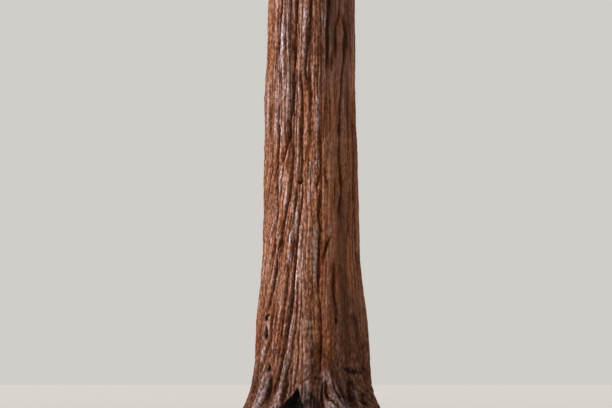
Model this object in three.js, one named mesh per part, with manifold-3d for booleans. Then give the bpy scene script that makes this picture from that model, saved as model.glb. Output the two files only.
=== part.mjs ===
// A mature giant sequoia, whole, from the flat cut at ground level to its rounded top.
// A fluted, flared foot carries one columnar trunk. Tapering boughs leave it from two fifths of
// its height upwards, and each ends where it enters its own mass of foliage. Near the top the
// masses close round the trunk itself.
import * as THREE from "three";
import { mergeVertices } from "three/addons/utils/BufferGeometryUtils.js";
import Module from "manifold-3d";

const wasm = await Module();
wasm.setup();

// The real tree stands 70 m tall, and it is drawn evenly scaled to 40 m.
// METRE is one metre of the real tree in the drawn tree's millimetres.
const REAL_HEIGHT = 70;
const DRAWN_HEIGHT = 40000;
const METRE = DRAWN_HEIGHT / REAL_HEIGHT;

// Trunk: sizes are the real tree's metres, and angles are degrees from the face in the photograph.
const SHAFT_RADIUS = 2.32;
const SHAFT_TAPER = 2.4;
const TIP_HEIGHT = 69.3;
const TIP_RADIUS = 0.07;
const SWELL = { size: 0.36, from: 3, to: 8 };
const FLARE = { size: 0.92, height: 0.75 };
const BUTTRESSES = [-87, -58, -33, -7, 22, 54, 87, 120, 152, 181, 213, 243];
const BUTTRESS = { halfWidth: 19, valley: 0.46, height: 2.6, lasting: 0.1, lastingHeight: 14 };
const SWAY = { from: 22, fullAfter: 22, size: 0.28, wave: 34 };
const TRUNK_RINGS = 16;

// Crown: the boughs climb the trunk by the golden angle.
const GOLDEN_ANGLE = 137.5;
const BOUGH_COUNT = 22;
const BOUGH_HEIGHT = { lowest: 29.6, highest: 57.4 };
const BOUGH_RADIUS = { lowest: 0.56, highest: 0.26, tipShare: 0.42 };
const BOUGH_RISE = { lowest: -1.1, highest: 2.2 };
const BOUGH_SAG = { lowest: 1.1, highest: 0.3 };
const BOUGH_SIDES = 6;
const BOUGH_RINGS = 4;
const BARE_LIMB = { lowest: 1.6, highest: 0.9 };
const MASS_RADIUS = { lowest: 3.3, widest: 3.75, widestAt: 0.35, highest: 2.95 };
const MASS_HEIGHT_SHARE = 0.95;
const UPPER_COUNT = 7;
const UPPER_HEIGHT = { lowest: 58.4, highest: 65.6 };
const UPPER_REACH = { lowest: 6.2, highest: 3.9 };
const UPPER_RADIUS = { lowest: 3.0, highest: 2.3 };
const TOP = { height: 67.42, radius: 2.6, tall: 2.7 };
const MASS_DETAIL = 2;
const UNDERSIDE_SHARE = 0.74;
const LUMPS = [
  { size: 0.15, waves: 2.4 },
  { size: 0.11, waves: 3.6 },
  { size: 0.07, waves: 5.2 },
];

// Neighbouring solids keep this much clear of each other, in drawn millimetres.
const CLEARANCE = 0.5;

const radians = THREE.MathUtils.degToRad;
const mix = THREE.MathUtils.lerp;

// A seeded run of numbers from 0 to 1, the same on every build.
function randomFrom(seed) {
  let state = seed;
  return () => {
    state = (state + 0x6d2b79f5) | 0;
    let t = Math.imul(state ^ (state >>> 15), 1 | state);
    t = (t + Math.imul(t ^ (t >>> 7), 61 | t)) ^ t;
    return ((t ^ (t >>> 14)) >>> 0) / 4294967296;
  };
}

// The solid that a closed geometry bounds.
function solidFrom(geometry) {
  geometry.deleteAttribute("normal");
  geometry.deleteAttribute("uv");
  const merged = mergeVertices(geometry, 1e-2);
  return new wasm.Manifold(
    new wasm.Mesh({
      numProp: 3,
      vertProperties: new Float32Array(merged.attributes.position.array),
      triVerts: new Uint32Array(merged.index.array),
    }),
  );
}

// The largest single body of a solid, as a geometry.
function geometryFrom(solid) {
  const [largest] = solid.decompose().sort((a, b) => b.volume() - a.volume());
  const mesh = largest.getMesh();
  const geometry = new THREE.BufferGeometry();
  geometry.setAttribute("position", new THREE.BufferAttribute(mesh.vertProperties, 3));
  geometry.setIndex(new THREE.BufferAttribute(mesh.triVerts, 1));
  geometry.computeVertexNormals();
  return geometry;
}

// A closed skin over rings of equally many points, with a fan of faces over each end.
function loft(rings) {
  const sides = rings[0].length;
  const corners = rings.flat();
  const faces = [];
  for (let r = 0; r + 1 < rings.length; r += 1) {
    for (let s = 0; s < sides; s += 1) {
      const a = r * sides + s;
      const b = r * sides + ((s + 1) % sides);
      faces.push(a, b, b + sides, a, b + sides, a + sides);
    }
  }
  for (const [ring, turned] of [[0, true], [rings.length - 1, false]]) {
    const centre = rings[ring].reduce((sum, p) => sum.add(p), new THREE.Vector3());
    const middle = corners.push(centre.divideScalar(sides)) - 1;
    for (let s = 0; s < sides; s += 1) {
      const a = ring * sides + s;
      const b = ring * sides + ((s + 1) % sides);
      faces.push(...(turned ? [b, a, middle] : [a, b, middle]));
    }
  }
  const geometry = new THREE.BufferGeometry().setFromPoints(corners);
  geometry.setIndex(faces);
  return geometry;
}

// How far the trunk's middle stands from the plumb line at a height, in real metres.
function trunkMiddle(height) {
  const above = Math.max(0, height - SWAY.from);
  const share = Math.min(1, above / SWAY.fullAfter);
  const turn = (2 * Math.PI * above) / SWAY.wave;
  return [SWAY.size * share * Math.sin(turn), SWAY.size * share * (Math.cos(turn) - 1)];
}

// The trunk's radius at a height and a bearing, in real metres. The buttresses stand up to the
// full flare, and the valleys between them are drawn in.
function trunkRadius(height, bearing) {
  const up = height / REAL_HEIGHT;
  const swell = SWELL.size * (1 - THREE.MathUtils.smoothstep(height, SWELL.from, SWELL.to));
  const flare = FLARE.size * Math.exp(-height / FLARE.height);
  const full = SHAFT_RADIUS * (1 - up ** SHAFT_TAPER) + swell + flare;
  let crest = 0;
  for (const at of BUTTRESSES) {
    const off = Math.abs(((((bearing - at) % 360) + 540) % 360) - 180) / BUTTRESS.halfWidth;
    crest = Math.max(crest, off < 1 ? Math.cos((off * Math.PI) / 2) ** 2 : 0);
  }
  const valley =
    BUTTRESS.valley * Math.exp(-height / BUTTRESS.height) +
    BUTTRESS.lasting * Math.exp(-height / BUTTRESS.lastingHeight);
  return Math.max(TIP_RADIUS, full - valley * (1 - crest));
}

// The trunk, drawn wider and taller by the given drawn millimetres. It has one edge up each
// buttress and one up each valley, and its rings stand closer together towards the foot.
// Bearing 0 faces -Y, and 90 faces +X.
function trunkSolid(wider) {
  const bearings = BUTTRESSES.flatMap((crest, index) => {
    const next = BUTTRESSES[index + 1] ?? BUTTRESSES[0] + 360;
    return [crest, (crest + next) / 2];
  });
  const rings = [];
  for (let r = 0; r <= TRUNK_RINGS; r += 1) {
    const height = (TIP_HEIGHT + wider / METRE) * (r / TRUNK_RINGS) ** 2;
    const [middleX, middleY] = trunkMiddle(height);
    rings.push(
      bearings.map((bearing) => {
        const out = trunkRadius(height, bearing) * METRE + wider;
        const x = middleX * METRE + out * Math.sin(radians(bearing));
        const y = middleY * METRE - out * Math.cos(radians(bearing));
        return new THREE.Vector3(x, y, height * METRE);
      }),
    );
  }
  return solidFrom(loft(rings));
}

// The usual radius of a mass at a share of the way up the boughs, in real metres.
function massRadius(share) {
  const { lowest, widest, widestAt, highest } = MASS_RADIUS;
  if (share < widestAt) return mix(lowest, widest, share / widestAt);
  return mix(widest, highest, ((share - widestAt) / (1 - widestAt)) ** 1.5);
}

// A bough's plan: where it leaves the trunk, and the middle and radius of the mass it carries.
function boughPlan(index) {
  const random = randomFrom(4100 + 37 * index);
  const share = index / (BOUGH_COUNT - 1);
  const bearing = GOLDEN_ANGLE * index + mix(-11, 11, random());
  const rootHeight = mix(BOUGH_HEIGHT.lowest, BOUGH_HEIGHT.highest, share ** 0.94);
  const radius = massRadius(share) * mix(0.92, 1.1, random());
  const bare = mix(BARE_LIMB.lowest, BARE_LIMB.highest, share) * mix(0.9, 1.25, random());
  const rise = mix(BOUGH_RISE.lowest, BOUGH_RISE.highest, share) + mix(-0.5, 0.5, random());
  return {
    seed: 900 + index,
    bearing,
    rootHeight,
    height: rootHeight + rise,
    middle: trunkRadius(rootHeight, bearing) + bare + radius,
    sag: mix(BOUGH_SAG.lowest, BOUGH_SAG.highest, share),
    thick: mix(BOUGH_RADIUS.lowest, BOUGH_RADIUS.highest, share) * mix(0.86, 1.14, random()),
    long: radius * mix(0.98, 1.1, random()),
    wide: radius * mix(1.0, 1.2, random()),
    tall: radius * MASS_HEIGHT_SHARE * mix(0.92, 1.12, random()),
  };
}

// The plan of a mass that closes round the upper trunk.
function upperPlan(index) {
  const random = randomFrom(7300 + 53 * index);
  const share = index / (UPPER_COUNT - 1);
  const radius = mix(UPPER_RADIUS.lowest, UPPER_RADIUS.highest, share) * mix(0.94, 1.08, random());
  return {
    seed: 1700 + index,
    bearing: GOLDEN_ANGLE * (BOUGH_COUNT + index) + mix(-8, 8, random()),
    height: mix(UPPER_HEIGHT.lowest, UPPER_HEIGHT.highest, share),
    middle: mix(UPPER_REACH.lowest, UPPER_REACH.highest, share ** 1.2) - radius,
    long: radius,
    wide: radius * mix(0.98, 1.12, random()),
    tall: radius * MASS_HEIGHT_SHARE,
  };
}

const TOP_PLAN = {
  seed: 2600,
  bearing: 20,
  height: TOP.height,
  middle: 0,
  long: TOP.radius,
  wide: TOP.radius,
  tall: TOP.tall,
};

// The point that lies out along a bearing from the trunk's middle, in drawn millimetres.
function pointOut(bearing, out, height) {
  const [middleX, middleY] = trunkMiddle(height);
  return new THREE.Vector3(
    middleX + out * Math.sin(radians(bearing)),
    middleY - out * Math.cos(radians(bearing)),
    height,
  ).multiplyScalar(METRE);
}

// One tapering limb from the trunk's middle to the middle of its mass. It dips on its way out and
// turns up at its end.
function boughSolid(plan, wider) {
  const curve = new THREE.CubicBezierCurve3(
    pointOut(plan.bearing, 0, plan.rootHeight),
    pointOut(plan.bearing, plan.middle * 0.45, plan.rootHeight - plan.sag * 0.35),
    pointOut(plan.bearing, plan.middle * 0.8, plan.height - plan.sag),
    pointOut(plan.bearing, plan.middle, plan.height),
  );
  const frames = curve.computeFrenetFrames(BOUGH_RINGS);
  const rings = [];
  for (let r = 0; r <= BOUGH_RINGS; r += 1) {
    const middle = curve.getPointAt(r / BOUGH_RINGS);
    const taper = mix(1, BOUGH_RADIUS.tipShare, r / BOUGH_RINGS);
    const radius = plan.thick * taper * METRE + wider;
    const ring = [];
    for (let s = 0; s < BOUGH_SIDES; s += 1) {
      const turn = (2 * Math.PI * s) / BOUGH_SIDES;
      const across = frames.normals[r].clone().multiplyScalar(radius * Math.cos(turn));
      const over = frames.binormals[r].clone().multiplyScalar(radius * Math.sin(turn));
      ring.push(middle.clone().add(across).add(over));
    }
    rings.push(ring);
  }
  return solidFrom(loft(rings));
}

// An uneven, lumpy mass with a flatter underside, longest the way its bough points.
function massSolid(plan, wider) {
  const random = randomFrom(plan.seed);
  const lumps = LUMPS.map(({ size, waves }) => ({
    size,
    waves,
    along: new THREE.Vector3(random() - 0.5, random() - 0.5, random() - 0.5).normalize(),
    phase: random() * 2 * Math.PI,
  }));
  const geometry = new THREE.IcosahedronGeometry(1, MASS_DETAIL);
  const corners = geometry.attributes.position;
  const corner = new THREE.Vector3();
  for (let i = 0; i < corners.count; i += 1) {
    corner.fromBufferAttribute(corners, i).normalize();
    let swell = 1;
    for (const lump of lumps) {
      swell += lump.size * Math.sin(lump.waves * corner.dot(lump.along) + lump.phase);
    }
    const under = corner.z < 0 ? UNDERSIDE_SHARE : 1;
    const size = new THREE.Vector3(plan.long, plan.wide, plan.tall * under);
    corner.multiply(size).multiplyScalar(swell * METRE);
    corner.setLength(corner.length() + wider);
    corners.setXYZ(i, corner.x, corner.y, corner.z);
  }
  geometry.rotateZ(radians(plan.bearing - 90));
  const middle = pointOut(plan.bearing, plan.middle, plan.height);
  geometry.translate(middle.x, middle.y, middle.z);
  return solidFrom(geometry);
}

const bark = new THREE.MeshStandardMaterial({ color: 0x8a5a42, roughness: 0.92, metalness: 0 });
const boughBark = new THREE.MeshStandardMaterial({ color: 0x7c5644, roughness: 0.92, metalness: 0 });
const leaves = new THREE.MeshStandardMaterial({ color: 0x4e6b34, roughness: 0.8, metalness: 0 });

function piece(name, solid, material) {
  const mesh = new THREE.Mesh(geometryFrom(solid), material);
  mesh.name = name;
  return mesh;
}

const twoDigits = (number) => String(number).padStart(2, "0");

const boughPlans = Array.from({ length: BOUGH_COUNT }, (_, index) => boughPlan(index));
const upperPlans = Array.from({ length: UPPER_COUNT }, (_, index) => upperPlan(index));
const massPlans = [...boughPlans, ...upperPlans, TOP_PLAN];
const massNames = [
  ...boughPlans.map((_, index) => `foliage_${twoDigits(index + 1)}`),
  ...upperPlans.map((_, index) => `foliage_upper_${index + 1}`),
  "foliage_top",
];

const tree = new THREE.Group();
const boughs = new THREE.Group();
const foliage = new THREE.Group();
tree.add(piece("trunk", trunkSolid(0), bark), boughs, foliage);

// Two masses that would run into each other are parted by a flat gap between their middles.
// It stands nearer the smaller one, and it lies flatter than the line between them is steep,
// because the masses are wider than they are tall.
const middles = massPlans.map((plan) => pointOut(plan.bearing, plan.middle, plan.height));
const masses = massPlans.map((plan) => massSolid(plan, 0));
const widerMasses = massPlans.map((plan) => massSolid(plan, CLEARANCE));
const partings = masses.map(() => []);
for (let a = 0; a < masses.length; a += 1) {
  for (let b = a + 1; b < masses.length; b += 1) {
    if (masses[a].minGap(masses[b], CLEARANCE) >= CLEARANCE) continue;
    const across = middles[b].clone().sub(middles[a]);
    across.z /= MASS_HEIGHT_SHARE ** 2;
    across.normalize();
    const share = massPlans[a].wide / (massPlans[a].wide + massPlans[b].wide);
    const at = across.dot(middles[a].clone().lerp(middles[b], share));
    partings[a].push({ normal: across.clone().negate().toArray(), offset: -at });
    partings[b].push({ normal: across.toArray(), offset: at });
  }
}

// A mass cut off flat at its partings, held back from each by the given drawn millimetres.
function parted(mass, index, heldBack) {
  return partings[index].reduce(
    (left, { normal, offset }) => left.trimByPlane(normal, offset + heldBack),
    mass,
  );
}

// A bough is cut to the trunk that it leaves and to its own mass.
const clearTrunk = trunkSolid(CLEARANCE);
boughPlans.forEach((plan, index) => {
  const ownMass = parted(widerMasses[index], index, -CLEARANCE / 2);
  const cut = boughSolid(plan, 0).subtract(clearTrunk).subtract(ownMass);
  boughs.add(piece(`bough_${twoDigits(index + 1)}`, cut, boughBark));
});

// A mass is cut round the trunk, and round the boughs of other masses that pass through it.
massPlans.forEach((plan, index) => {
  let cut = parted(masses[index], index, CLEARANCE / 2).subtract(clearTrunk);
  boughPlans.forEach((other, at) => {
    if (at !== index) cut = cut.subtract(boughSolid(other, CLEARANCE));
  });
  foliage.add(piece(massNames[index], cut, leaves));
});

export default tree;
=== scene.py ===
import math
import bpy
import numpy as np
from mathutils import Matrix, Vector
from mathutils.bvhtree import BVHTree


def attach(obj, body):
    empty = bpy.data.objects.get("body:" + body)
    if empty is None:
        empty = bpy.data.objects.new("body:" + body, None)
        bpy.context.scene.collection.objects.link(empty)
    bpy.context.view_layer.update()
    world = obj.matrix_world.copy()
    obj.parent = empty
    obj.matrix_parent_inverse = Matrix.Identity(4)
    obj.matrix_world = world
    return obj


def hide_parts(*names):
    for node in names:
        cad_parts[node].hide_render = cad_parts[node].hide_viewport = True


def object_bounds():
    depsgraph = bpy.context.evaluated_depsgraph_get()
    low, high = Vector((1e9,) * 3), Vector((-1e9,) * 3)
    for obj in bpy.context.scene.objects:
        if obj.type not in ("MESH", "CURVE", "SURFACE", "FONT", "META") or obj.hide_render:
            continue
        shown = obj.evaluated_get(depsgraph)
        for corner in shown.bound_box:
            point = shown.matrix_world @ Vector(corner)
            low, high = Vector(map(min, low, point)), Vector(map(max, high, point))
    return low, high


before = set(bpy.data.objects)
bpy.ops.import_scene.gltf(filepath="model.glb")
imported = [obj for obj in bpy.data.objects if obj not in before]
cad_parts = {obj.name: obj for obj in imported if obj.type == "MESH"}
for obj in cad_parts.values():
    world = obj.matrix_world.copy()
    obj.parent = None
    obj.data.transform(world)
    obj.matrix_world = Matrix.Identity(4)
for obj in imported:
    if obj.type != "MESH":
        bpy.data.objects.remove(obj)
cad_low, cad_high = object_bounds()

# Trunk: one columnar stem of wood under thick, soft, fibrous red-brown bark. It stands on a flared
# foot of twelve buttresses, and is whole to its tip. The bark splits as the stem swells, into long
# interlacing ridges with deep furrows between them.
REAL_HEIGHT = 70
METRE = 40 / REAL_HEIGHT  # one metre of the real tree, in the drawn tree's metres
TIP_HEIGHT = 69.3 * METRE
SHAFT_RADIUS = 2.32 * METRE
FOOT_SWELL = 0.36 * METRE
FLARE = 0.92 * METRE
SWAY = 0.28 * METRE
SWAY_BEGINS = 22  # in real metres, as are the next two
SWAY_GROWS_OVER = 22
SWAY_LENGTH = 34
TIP_RADIUS = 0.07 * METRE
BUTTRESS_BEARINGS = (-87, -58, -33, -7, 22, 54, 87, 120, 152, 181, 213, 243)
BUTTRESS_HALF_WIDTH = 19
CREST_STANDS = 0.03
# How many ridges, bands, strips and shreds of bark lie side by side where the stem's radius is the
# usual one, and how long each is.
RIDGES = (27, 3.6)
BANDS = (62, 3.2)
STRIPS = (92, 1.35)
SHREDS = (160, 0.34)
USUAL_RADIUS = 1.33


def smooth_step(low, high, value):
    share = np.clip((value - low) / (high - low), 0, 1)
    return share * share * (3 - 2 * share)


def smooth_fall(low, high, value):
    return 1 - smooth_step(low, high, value)


def within(begins, full, fades, ends, value):
    """1 from full to fades, easing to 0 where it begins and where it ends."""
    return smooth_step(begins, full, value) * smooth_fall(fades, ends, value)


def between(low, high, share):
    return low + (high - low) * share


def hump(value, middle, spread):
    """1 at the middle, falling smoothly to nearly nothing two spreads away."""
    return np.exp(-(((value - middle) / spread) ** 2))


def turned_by(bearing, at):
    """How many degrees one bearing is from another, the short way round."""
    return (bearing - at + 180) % 360 - 180


def trunk_middle(height):
    """How far the trunk's middle stands from the plumb line."""
    above = np.maximum(0, height / METRE - SWAY_BEGINS)
    sway = SWAY * np.minimum(1, above / SWAY_GROWS_OVER)
    turn = 2 * math.pi * above / SWAY_LENGTH
    return sway * np.sin(turn), sway * (np.cos(turn) - 1)


def trunk_radius(height, bearing):
    """The trunk's radius over its ridges. Bearing 0 faces -Y, and 90 faces +X."""
    real = height / METRE
    swell = FOOT_SWELL * smooth_fall(3, 8, real)
    flare = FLARE * np.exp(-real / 0.75)
    full = SHAFT_RADIUS * (1 - (real / REAL_HEIGHT) ** 2.4) + swell + flare
    crest = np.zeros_like(full + bearing)
    for at in BUTTRESS_BEARINGS:
        off = np.abs(turned_by(bearing, at)) / BUTTRESS_HALF_WIDTH
        crest = np.maximum(crest, np.where(off < 1, np.cos(off * math.pi / 2) ** 2, 0))
    valley = METRE * (0.46 * np.exp(-real / 2.6) + 0.1 * np.exp(-real / 14))
    return np.maximum(TIP_RADIUS, full - valley * (1 - crest))


def unit(vectors):
    return vectors / np.maximum(np.linalg.norm(vectors, axis=-1, keepdims=True), 1e-9)


LAST_BITS = 0xFFFFFFFF  # keeps a whole number to its last 32 bits


def scatter(column, row, layer, seed):
    """A number from 0 to 1 for each whole-numbered place, the same on every run."""
    mixed = (column * 374761393 + row * 668265263 + layer * 97531 + seed * 1274126177) & LAST_BITS
    mixed = ((mixed ^ (mixed >> 13)) * 1274126177) & LAST_BITS
    return (mixed ^ (mixed >> 16)) / LAST_BITS


def drift(x, y, z, seed):
    """Smooth unevenness from -1 to 1 through space, one swell to each unit."""
    column, row, layer = (np.floor(v).astype(np.int64) for v in (x, y, z))
    part_x, part_y, part_z = (smooth_step(0, 1, v - np.floor(v)) for v in (x, y, z))
    total = 0
    for step_x, step_y, step_z in np.ndindex(2, 2, 2):
        weight = ((part_x if step_x else 1 - part_x) * (part_y if step_y else 1 - part_y)
                  * (part_z if step_z else 1 - part_z))
        total = total + weight * scatter(column + step_x, row + step_y, layer + step_z, seed)
    return 2 * total - 1


def ridge_strips(columns, length, turns, height, seed):
    """Long ridges side by side round the stem, each pointed at its ends. It gives how far each place
    is from the furrow beside its ridge, that furrow's own strength, and the ridge's own tone."""
    x = turns * columns
    y = height / length
    column = np.floor(x).astype(np.int64)
    row = np.floor(y).astype(np.int64)
    nearest = [np.full(x.shape, 9.0), np.zeros(x.shape), np.zeros(x.shape)]
    second = list(nearest)
    for across in (-1, 0, 1):
        for up in (-1, 0, 1):
            turned = (column + across) % columns
            middle_x = column + across + 0.1 + 0.8 * scatter(turned, row + up, 0, seed)
            middle_y = row + up + scatter(turned, row + up, 1, seed)
            found = (np.hypot(x - middle_x, y - middle_y), middle_x, scatter(turned, row + up, 2, seed))
            first = found[0] < nearest[0]
            middling = ~first & (found[0] < second[0])
            second = [np.where(first, pushed, np.where(middling, new, old))
                      for pushed, new, old in zip(nearest, found, second)]
            nearest = [np.where(first, new, old) for new, old in zip(found, nearest)]
    near, near_x, near_tone = nearest
    far, far_x, far_tone = second
    beside = smooth_step(0.15, 0.6, np.abs(far_x - near_x))
    from_furrow = 1 - (1 - np.minimum(far - near, 1)) * beside
    strength = (near_tone + far_tone) * 7.31 % 1
    return from_furrow, strength, near_tone


def even_strips(columns, length, turns, height, crowding, seed):
    """Ridges of one width all over. Where the stem is thicker, or its grain fans out, it lays twice or
    four times as many side by side, and the new ones come in between the old."""
    total = [0, 0, 0]
    for fold in range(4):
        share = np.maximum(0, 1 - np.abs(crowding - fold))
        laid = ridge_strips(columns * 2**fold, length / 1.3**fold, turns, height, seed + 10 * fold)
        total = [sum_so_far + share * part for sum_so_far, part in zip(total, laid)]
    return total


# The furrows that stand out on the photographed face. Each has its depth in metres and half its width
# as seen from in front of the face, and then the height and bearing of the places it runs through,
# from its foot up. Their lines were followed one by one, and most were turned from pixels into these
# heights and bearings beforehand.
FACE_FURROWS = (
    (0.12, 0.034, ((2.8, -52), (3.3, -48), (3.7, -45), (4.2, -45), (4.5, -39), (4.8, -37), (5.3, -32),
                   (5.7, -27), (6.1, -25), (6.6, -23), (7.1, -22))),
    (0.12, 0.034, ((6.7, -36), (7.0, -32), (7.4, -27), (7.7, -27), (8.3, -23), (8.7, -22), (9.5, -21),
                   (9.9, -22))),
    (0.10, 0.033, ((0.7, -35), (1.0, -33), (1.3, -30), (1.9, -27), (2.4, -24), (3.0, -22), (3.6, -20),
                   (4.3, -18), (4.8, -16), (5.2, -13), (5.7, -10), (6.0, -10))),
    (0.13, 0.052, ((8.8, -23), (9.3, -22), (9.7, -21), (10.1, -22))),
    (0.09, 0.034, ((6.1, -13), (6.6, -11), (7.3, -12), (8.0, -11), (8.7, -11))),
    (0.12, 0.038, ((5.3, 35), (6.0, 39), (6.8, 36), (7.4, 37), (8.3, 39), (9.1, 42), (9.7, 47),
                   (10.4, 52), (10.8, 46))),
    (0.12, 0.039, ((9.3, 20), (9.7, 21), (10.4, 21), (11.2, 24), (12.6, 25))),
    (0.09, 0.034, ((8.8, -6), (9.4, -6), (9.9, -4), (10.6, -2), (11.2, 0), (12.8, 1))),
    (0.10, 0.030, ((3.2, 7), (3.9, 8), (4.4, 9), (4.8, 10), (5.2, 8), (5.8, 11))),
    (0.10, 0.028, ((4.2, -52), (4.7, -50), (5.3, -45), (6.1, -47), (7.1, -44), (7.9, -46), (8.3, -45))),
    (0.15, 0.034, ((1.8, 62), (2.6, 63), (3.4, 69), (4.1, 72), (4.9, 66), (5.7, 66), (7.1, 67),
                   (8.6, 69))),
    (0.10, 0.028, ((9.6, -49), (9.9, -47), (10.4, -45), (11.3, -42), (12.4, -41))),
    (0.08, 0.030, ((9.7, -63), (10.1, -63), (10.5, -62), (10.9, -59), (11.5, -59))),
    (0.07, 0.026, ((8.9, -35), (9.7, -35), (10.1, -34), (10.7, -33))),
    (0.08, 0.027, ((10.5, -29), (10.9, -27), (11.8, -26))),
    (0.08, 0.027, ((10.2, -25), (10.6, -25))),
    (0.10, 0.030, ((10.0, -20), (10.7, -19), (11.8, -18))),
    (0.10, 0.030, ((8.6, -4), (9.0, -2))),
    (0.06, 0.032, ((9.5, 11), (10.6, 12))),
    (0.08, 0.030, ((9.7, 32), (10.5, 34), (10.9, 39), (11.9, 40))),
    (0.07, 0.028, ((9.7, 61), (10.3, 62), (10.9, 60), (11.8, 60))),
    (0.08, 0.030, ((9.2, 26), (9.7, 28))),
    (0.08, 0.022, ((9.0, -44), (9.1, -43), (9.2, -44), (9.3, -48))),
    (0.07, 0.024, ((7.8, -39), (8.3, -41), (8.7, -41), (9.3, -40))),
    (0.08, 0.030, ((8.6, -12), (9.1, -14))),
    (0.10, 0.030, ((7.4, -63), (8.2, -62), (8.9, -67))),
    (0.08, 0.026, ((5.5, -68), (6.0, -62), (6.5, -57), (7.2, -55))),
    (0.08, 0.027, ((6.6, -37), (7.0, -35))),
    (0.07, 0.024, ((6.6, -7), (7.0, -5))),
    (0.07, 0.032, ((7.8, 52), (8.9, 54))),
    (0.07, 0.028, ((6.8, 10), (7.1, 10), (7.4, 10))),
    (0.07, 0.028, ((5.9, 18), (6.5, 16))),
    (0.07, 0.027, ((5.5, -41), (6.1, -38))),
    (0.08, 0.027, ((4.8, -25), (5.1, -22), (5.5, -19), (5.8, -17))),
    (0.08, 0.032, ((5.9, 6), (6.3, 10))),
    (0.10, 0.028, ((4.0, 14), (4.4, 17), (4.6, 22))),
    (0.06, 0.024, ((5.4, 27), (6.1, 29))),
    (0.07, 0.026, ((4.7, 49), (5.1, 50))),
    (0.07, 0.027, ((4.2, -38), (4.6, -38), (5.0, -40))),
    (0.07, 0.028, ((3.6, -26), (4.0, -24), (4.6, -22))),
    (0.07, 0.024, ((2.7, -62), (3.4, -64))),
    (0.07, 0.024, ((3.0, 25), (3.3, 23))),
    (0.07, 0.026, ((2.4, 25), (2.7, 25))),
    (0.07, 0.024, ((2.5, -45), (3.0, -44))),
    (0.06, 0.024, ((1.2, 9), (2.0, 10), (2.5, 10), (3.0, 9))),
    (0.06, 0.024, ((1.7, -20), (2.1, -19))),
    (0.07, 0.026, ((0.7, -18), (1.0, -16), (1.4, -13))),
    (0.12, 0.038, ((0.5, 15), (1.0, 14))),
    (0.07, 0.026, ((1.1, 72), (1.5, 73), (2.0, 67))),
    (0.12, 0.038, ((0.40, -50), (0.68, -48), (1.00, -46))),
    (0.12, 0.038, ((0.46, -27), (0.70, -26), (1.00, -25))),
    (0.07, 0.026, ((0.69, -67), (1.09, -64), (1.44, -58))),
    (0.12, 0.038, ((0.38, 27), (0.63, 23), (0.82, 20))),
    (0.12, 0.038, ((0.34, 22), (0.49, 18), (0.63, 14))),
    (0.12, 0.038, ((0.42, 36), (0.62, 31), (0.82, 25))),
    (0.12, 0.038, ((0.33, 46), (0.50, 43), (0.74, 41), (0.96, 40))),
    (0.12, 0.038, ((0.35, 51), (0.62, 53))),
    (0.12, 0.038, ((0.37, 11), (0.60, 10), (0.89, 11))),
    (0.08, 0.028, ((1.58, -33), (1.97, -31), (2.47, -30), (2.98, -29), (3.49, -28), (3.96, -27))),
    (0.07, 0.024, ((1.43, -22), (1.72, -20), (2.21, -17), (2.71, -16), (3.35, -15))),
    (0.10, 0.034, ((2.67, 26), (3.05, 24), (3.38, 24), (3.96, 26))),
    (0.07, 0.026, ((2.01, -66), (2.39, -65), (2.91, -64), (3.35, -64))),
    (0.12, 0.040, ((0.39, -38), (0.58, -38), (0.80, -37), (1.01, -34))),
    (0.10, 0.034, ((0.39, -27), (0.60, -28), (0.84, -27), (1.18, -25), (1.43, -22))),
    (0.12, 0.040, ((0.41, -47), (0.70, -48), (0.97, -46))),
    (0.08, 0.028, ((1.69, -49), (2.24, -47), (2.85, -46))),
    (0.07, 0.026, ((1.33, -42), (1.73, -41), (2.36, -40), (2.99, -39))),
)
# Holes: bearing and height of the middle, half width in degrees, half height, depth and blackness. The
# blackness is char, except in the two faint ones near 6 m high, where it is painted shade under a ledge.
HOLES = (
    (-54, 2.55, 3.2, 0.10, 0.16, 1.0),
    (-51, 2.62, 2.0, 0.05, 0.10, 0.9),
    (-53, 2.18, 2.1, 0.20, 0.16, 1.0),
    (-60, 2.10, 1.6, 0.06, 0.10, 0.9),
    (-48, 1.31, 1.4, 0.12, 0.07, 0.95),
    (-58, 1.22, 1.1, 0.14, 0.04, 0.7),
    (-14, 6.05, 3.4, 0.05, 0.09, 0.25),
    (-11, 6.12, 1.6, 0.11, 0.08, 0.2),
    (25, 2.45, 1.2, 0.08, 0.06, 0.5),
)
# Burnt-out hollows in the foot: bearing at the peak, bearing at the ground, height, half width in
# degrees and depth. Their sides lean together over the upper share of their height.
LEANING_SHARE = 0.72
FIRE_HOLLOWS = (
    (-13, -20.5, 0.80, 18, 0.52),
    (157, 154, 2.60, 13, 0.45),
    (231, 233, 1.10, 9, 0.30),
)
# Charred bark: bearing, height, half width in degrees, half height and strength.
CHARRED = (
    (-2, 0.42, 9, 0.32, 0.80),
    (8, 0.30, 6, 0.22, 0.60),
    (39, 1.25, 5, 0.06, 0.90),
    (46, 1.20, 6, 0.08, 0.95),
    (53, 1.17, 5, 0.05, 0.80),
    (60, 1.26, 6, 0.12, 1.0),
    (59, 1.08, 4, 0.12, 0.9),
    (43, 0.80, 4, 0.20, 0.75),
    (64, 0.62, 12, 0.36, 0.60),
    (54, 0.48, 4, 0.20, 0.85),
    (40, 0.50, 6, 0.26, 0.45),
    (49, 2.42, 7, 0.26, 0.50),
    (-64, 0.75, 6, 0.20, 0.45),
    (157, 2.4, 18, 1.6, 0.80),
    (231, 0.9, 14, 0.9, 0.70),
)
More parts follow.
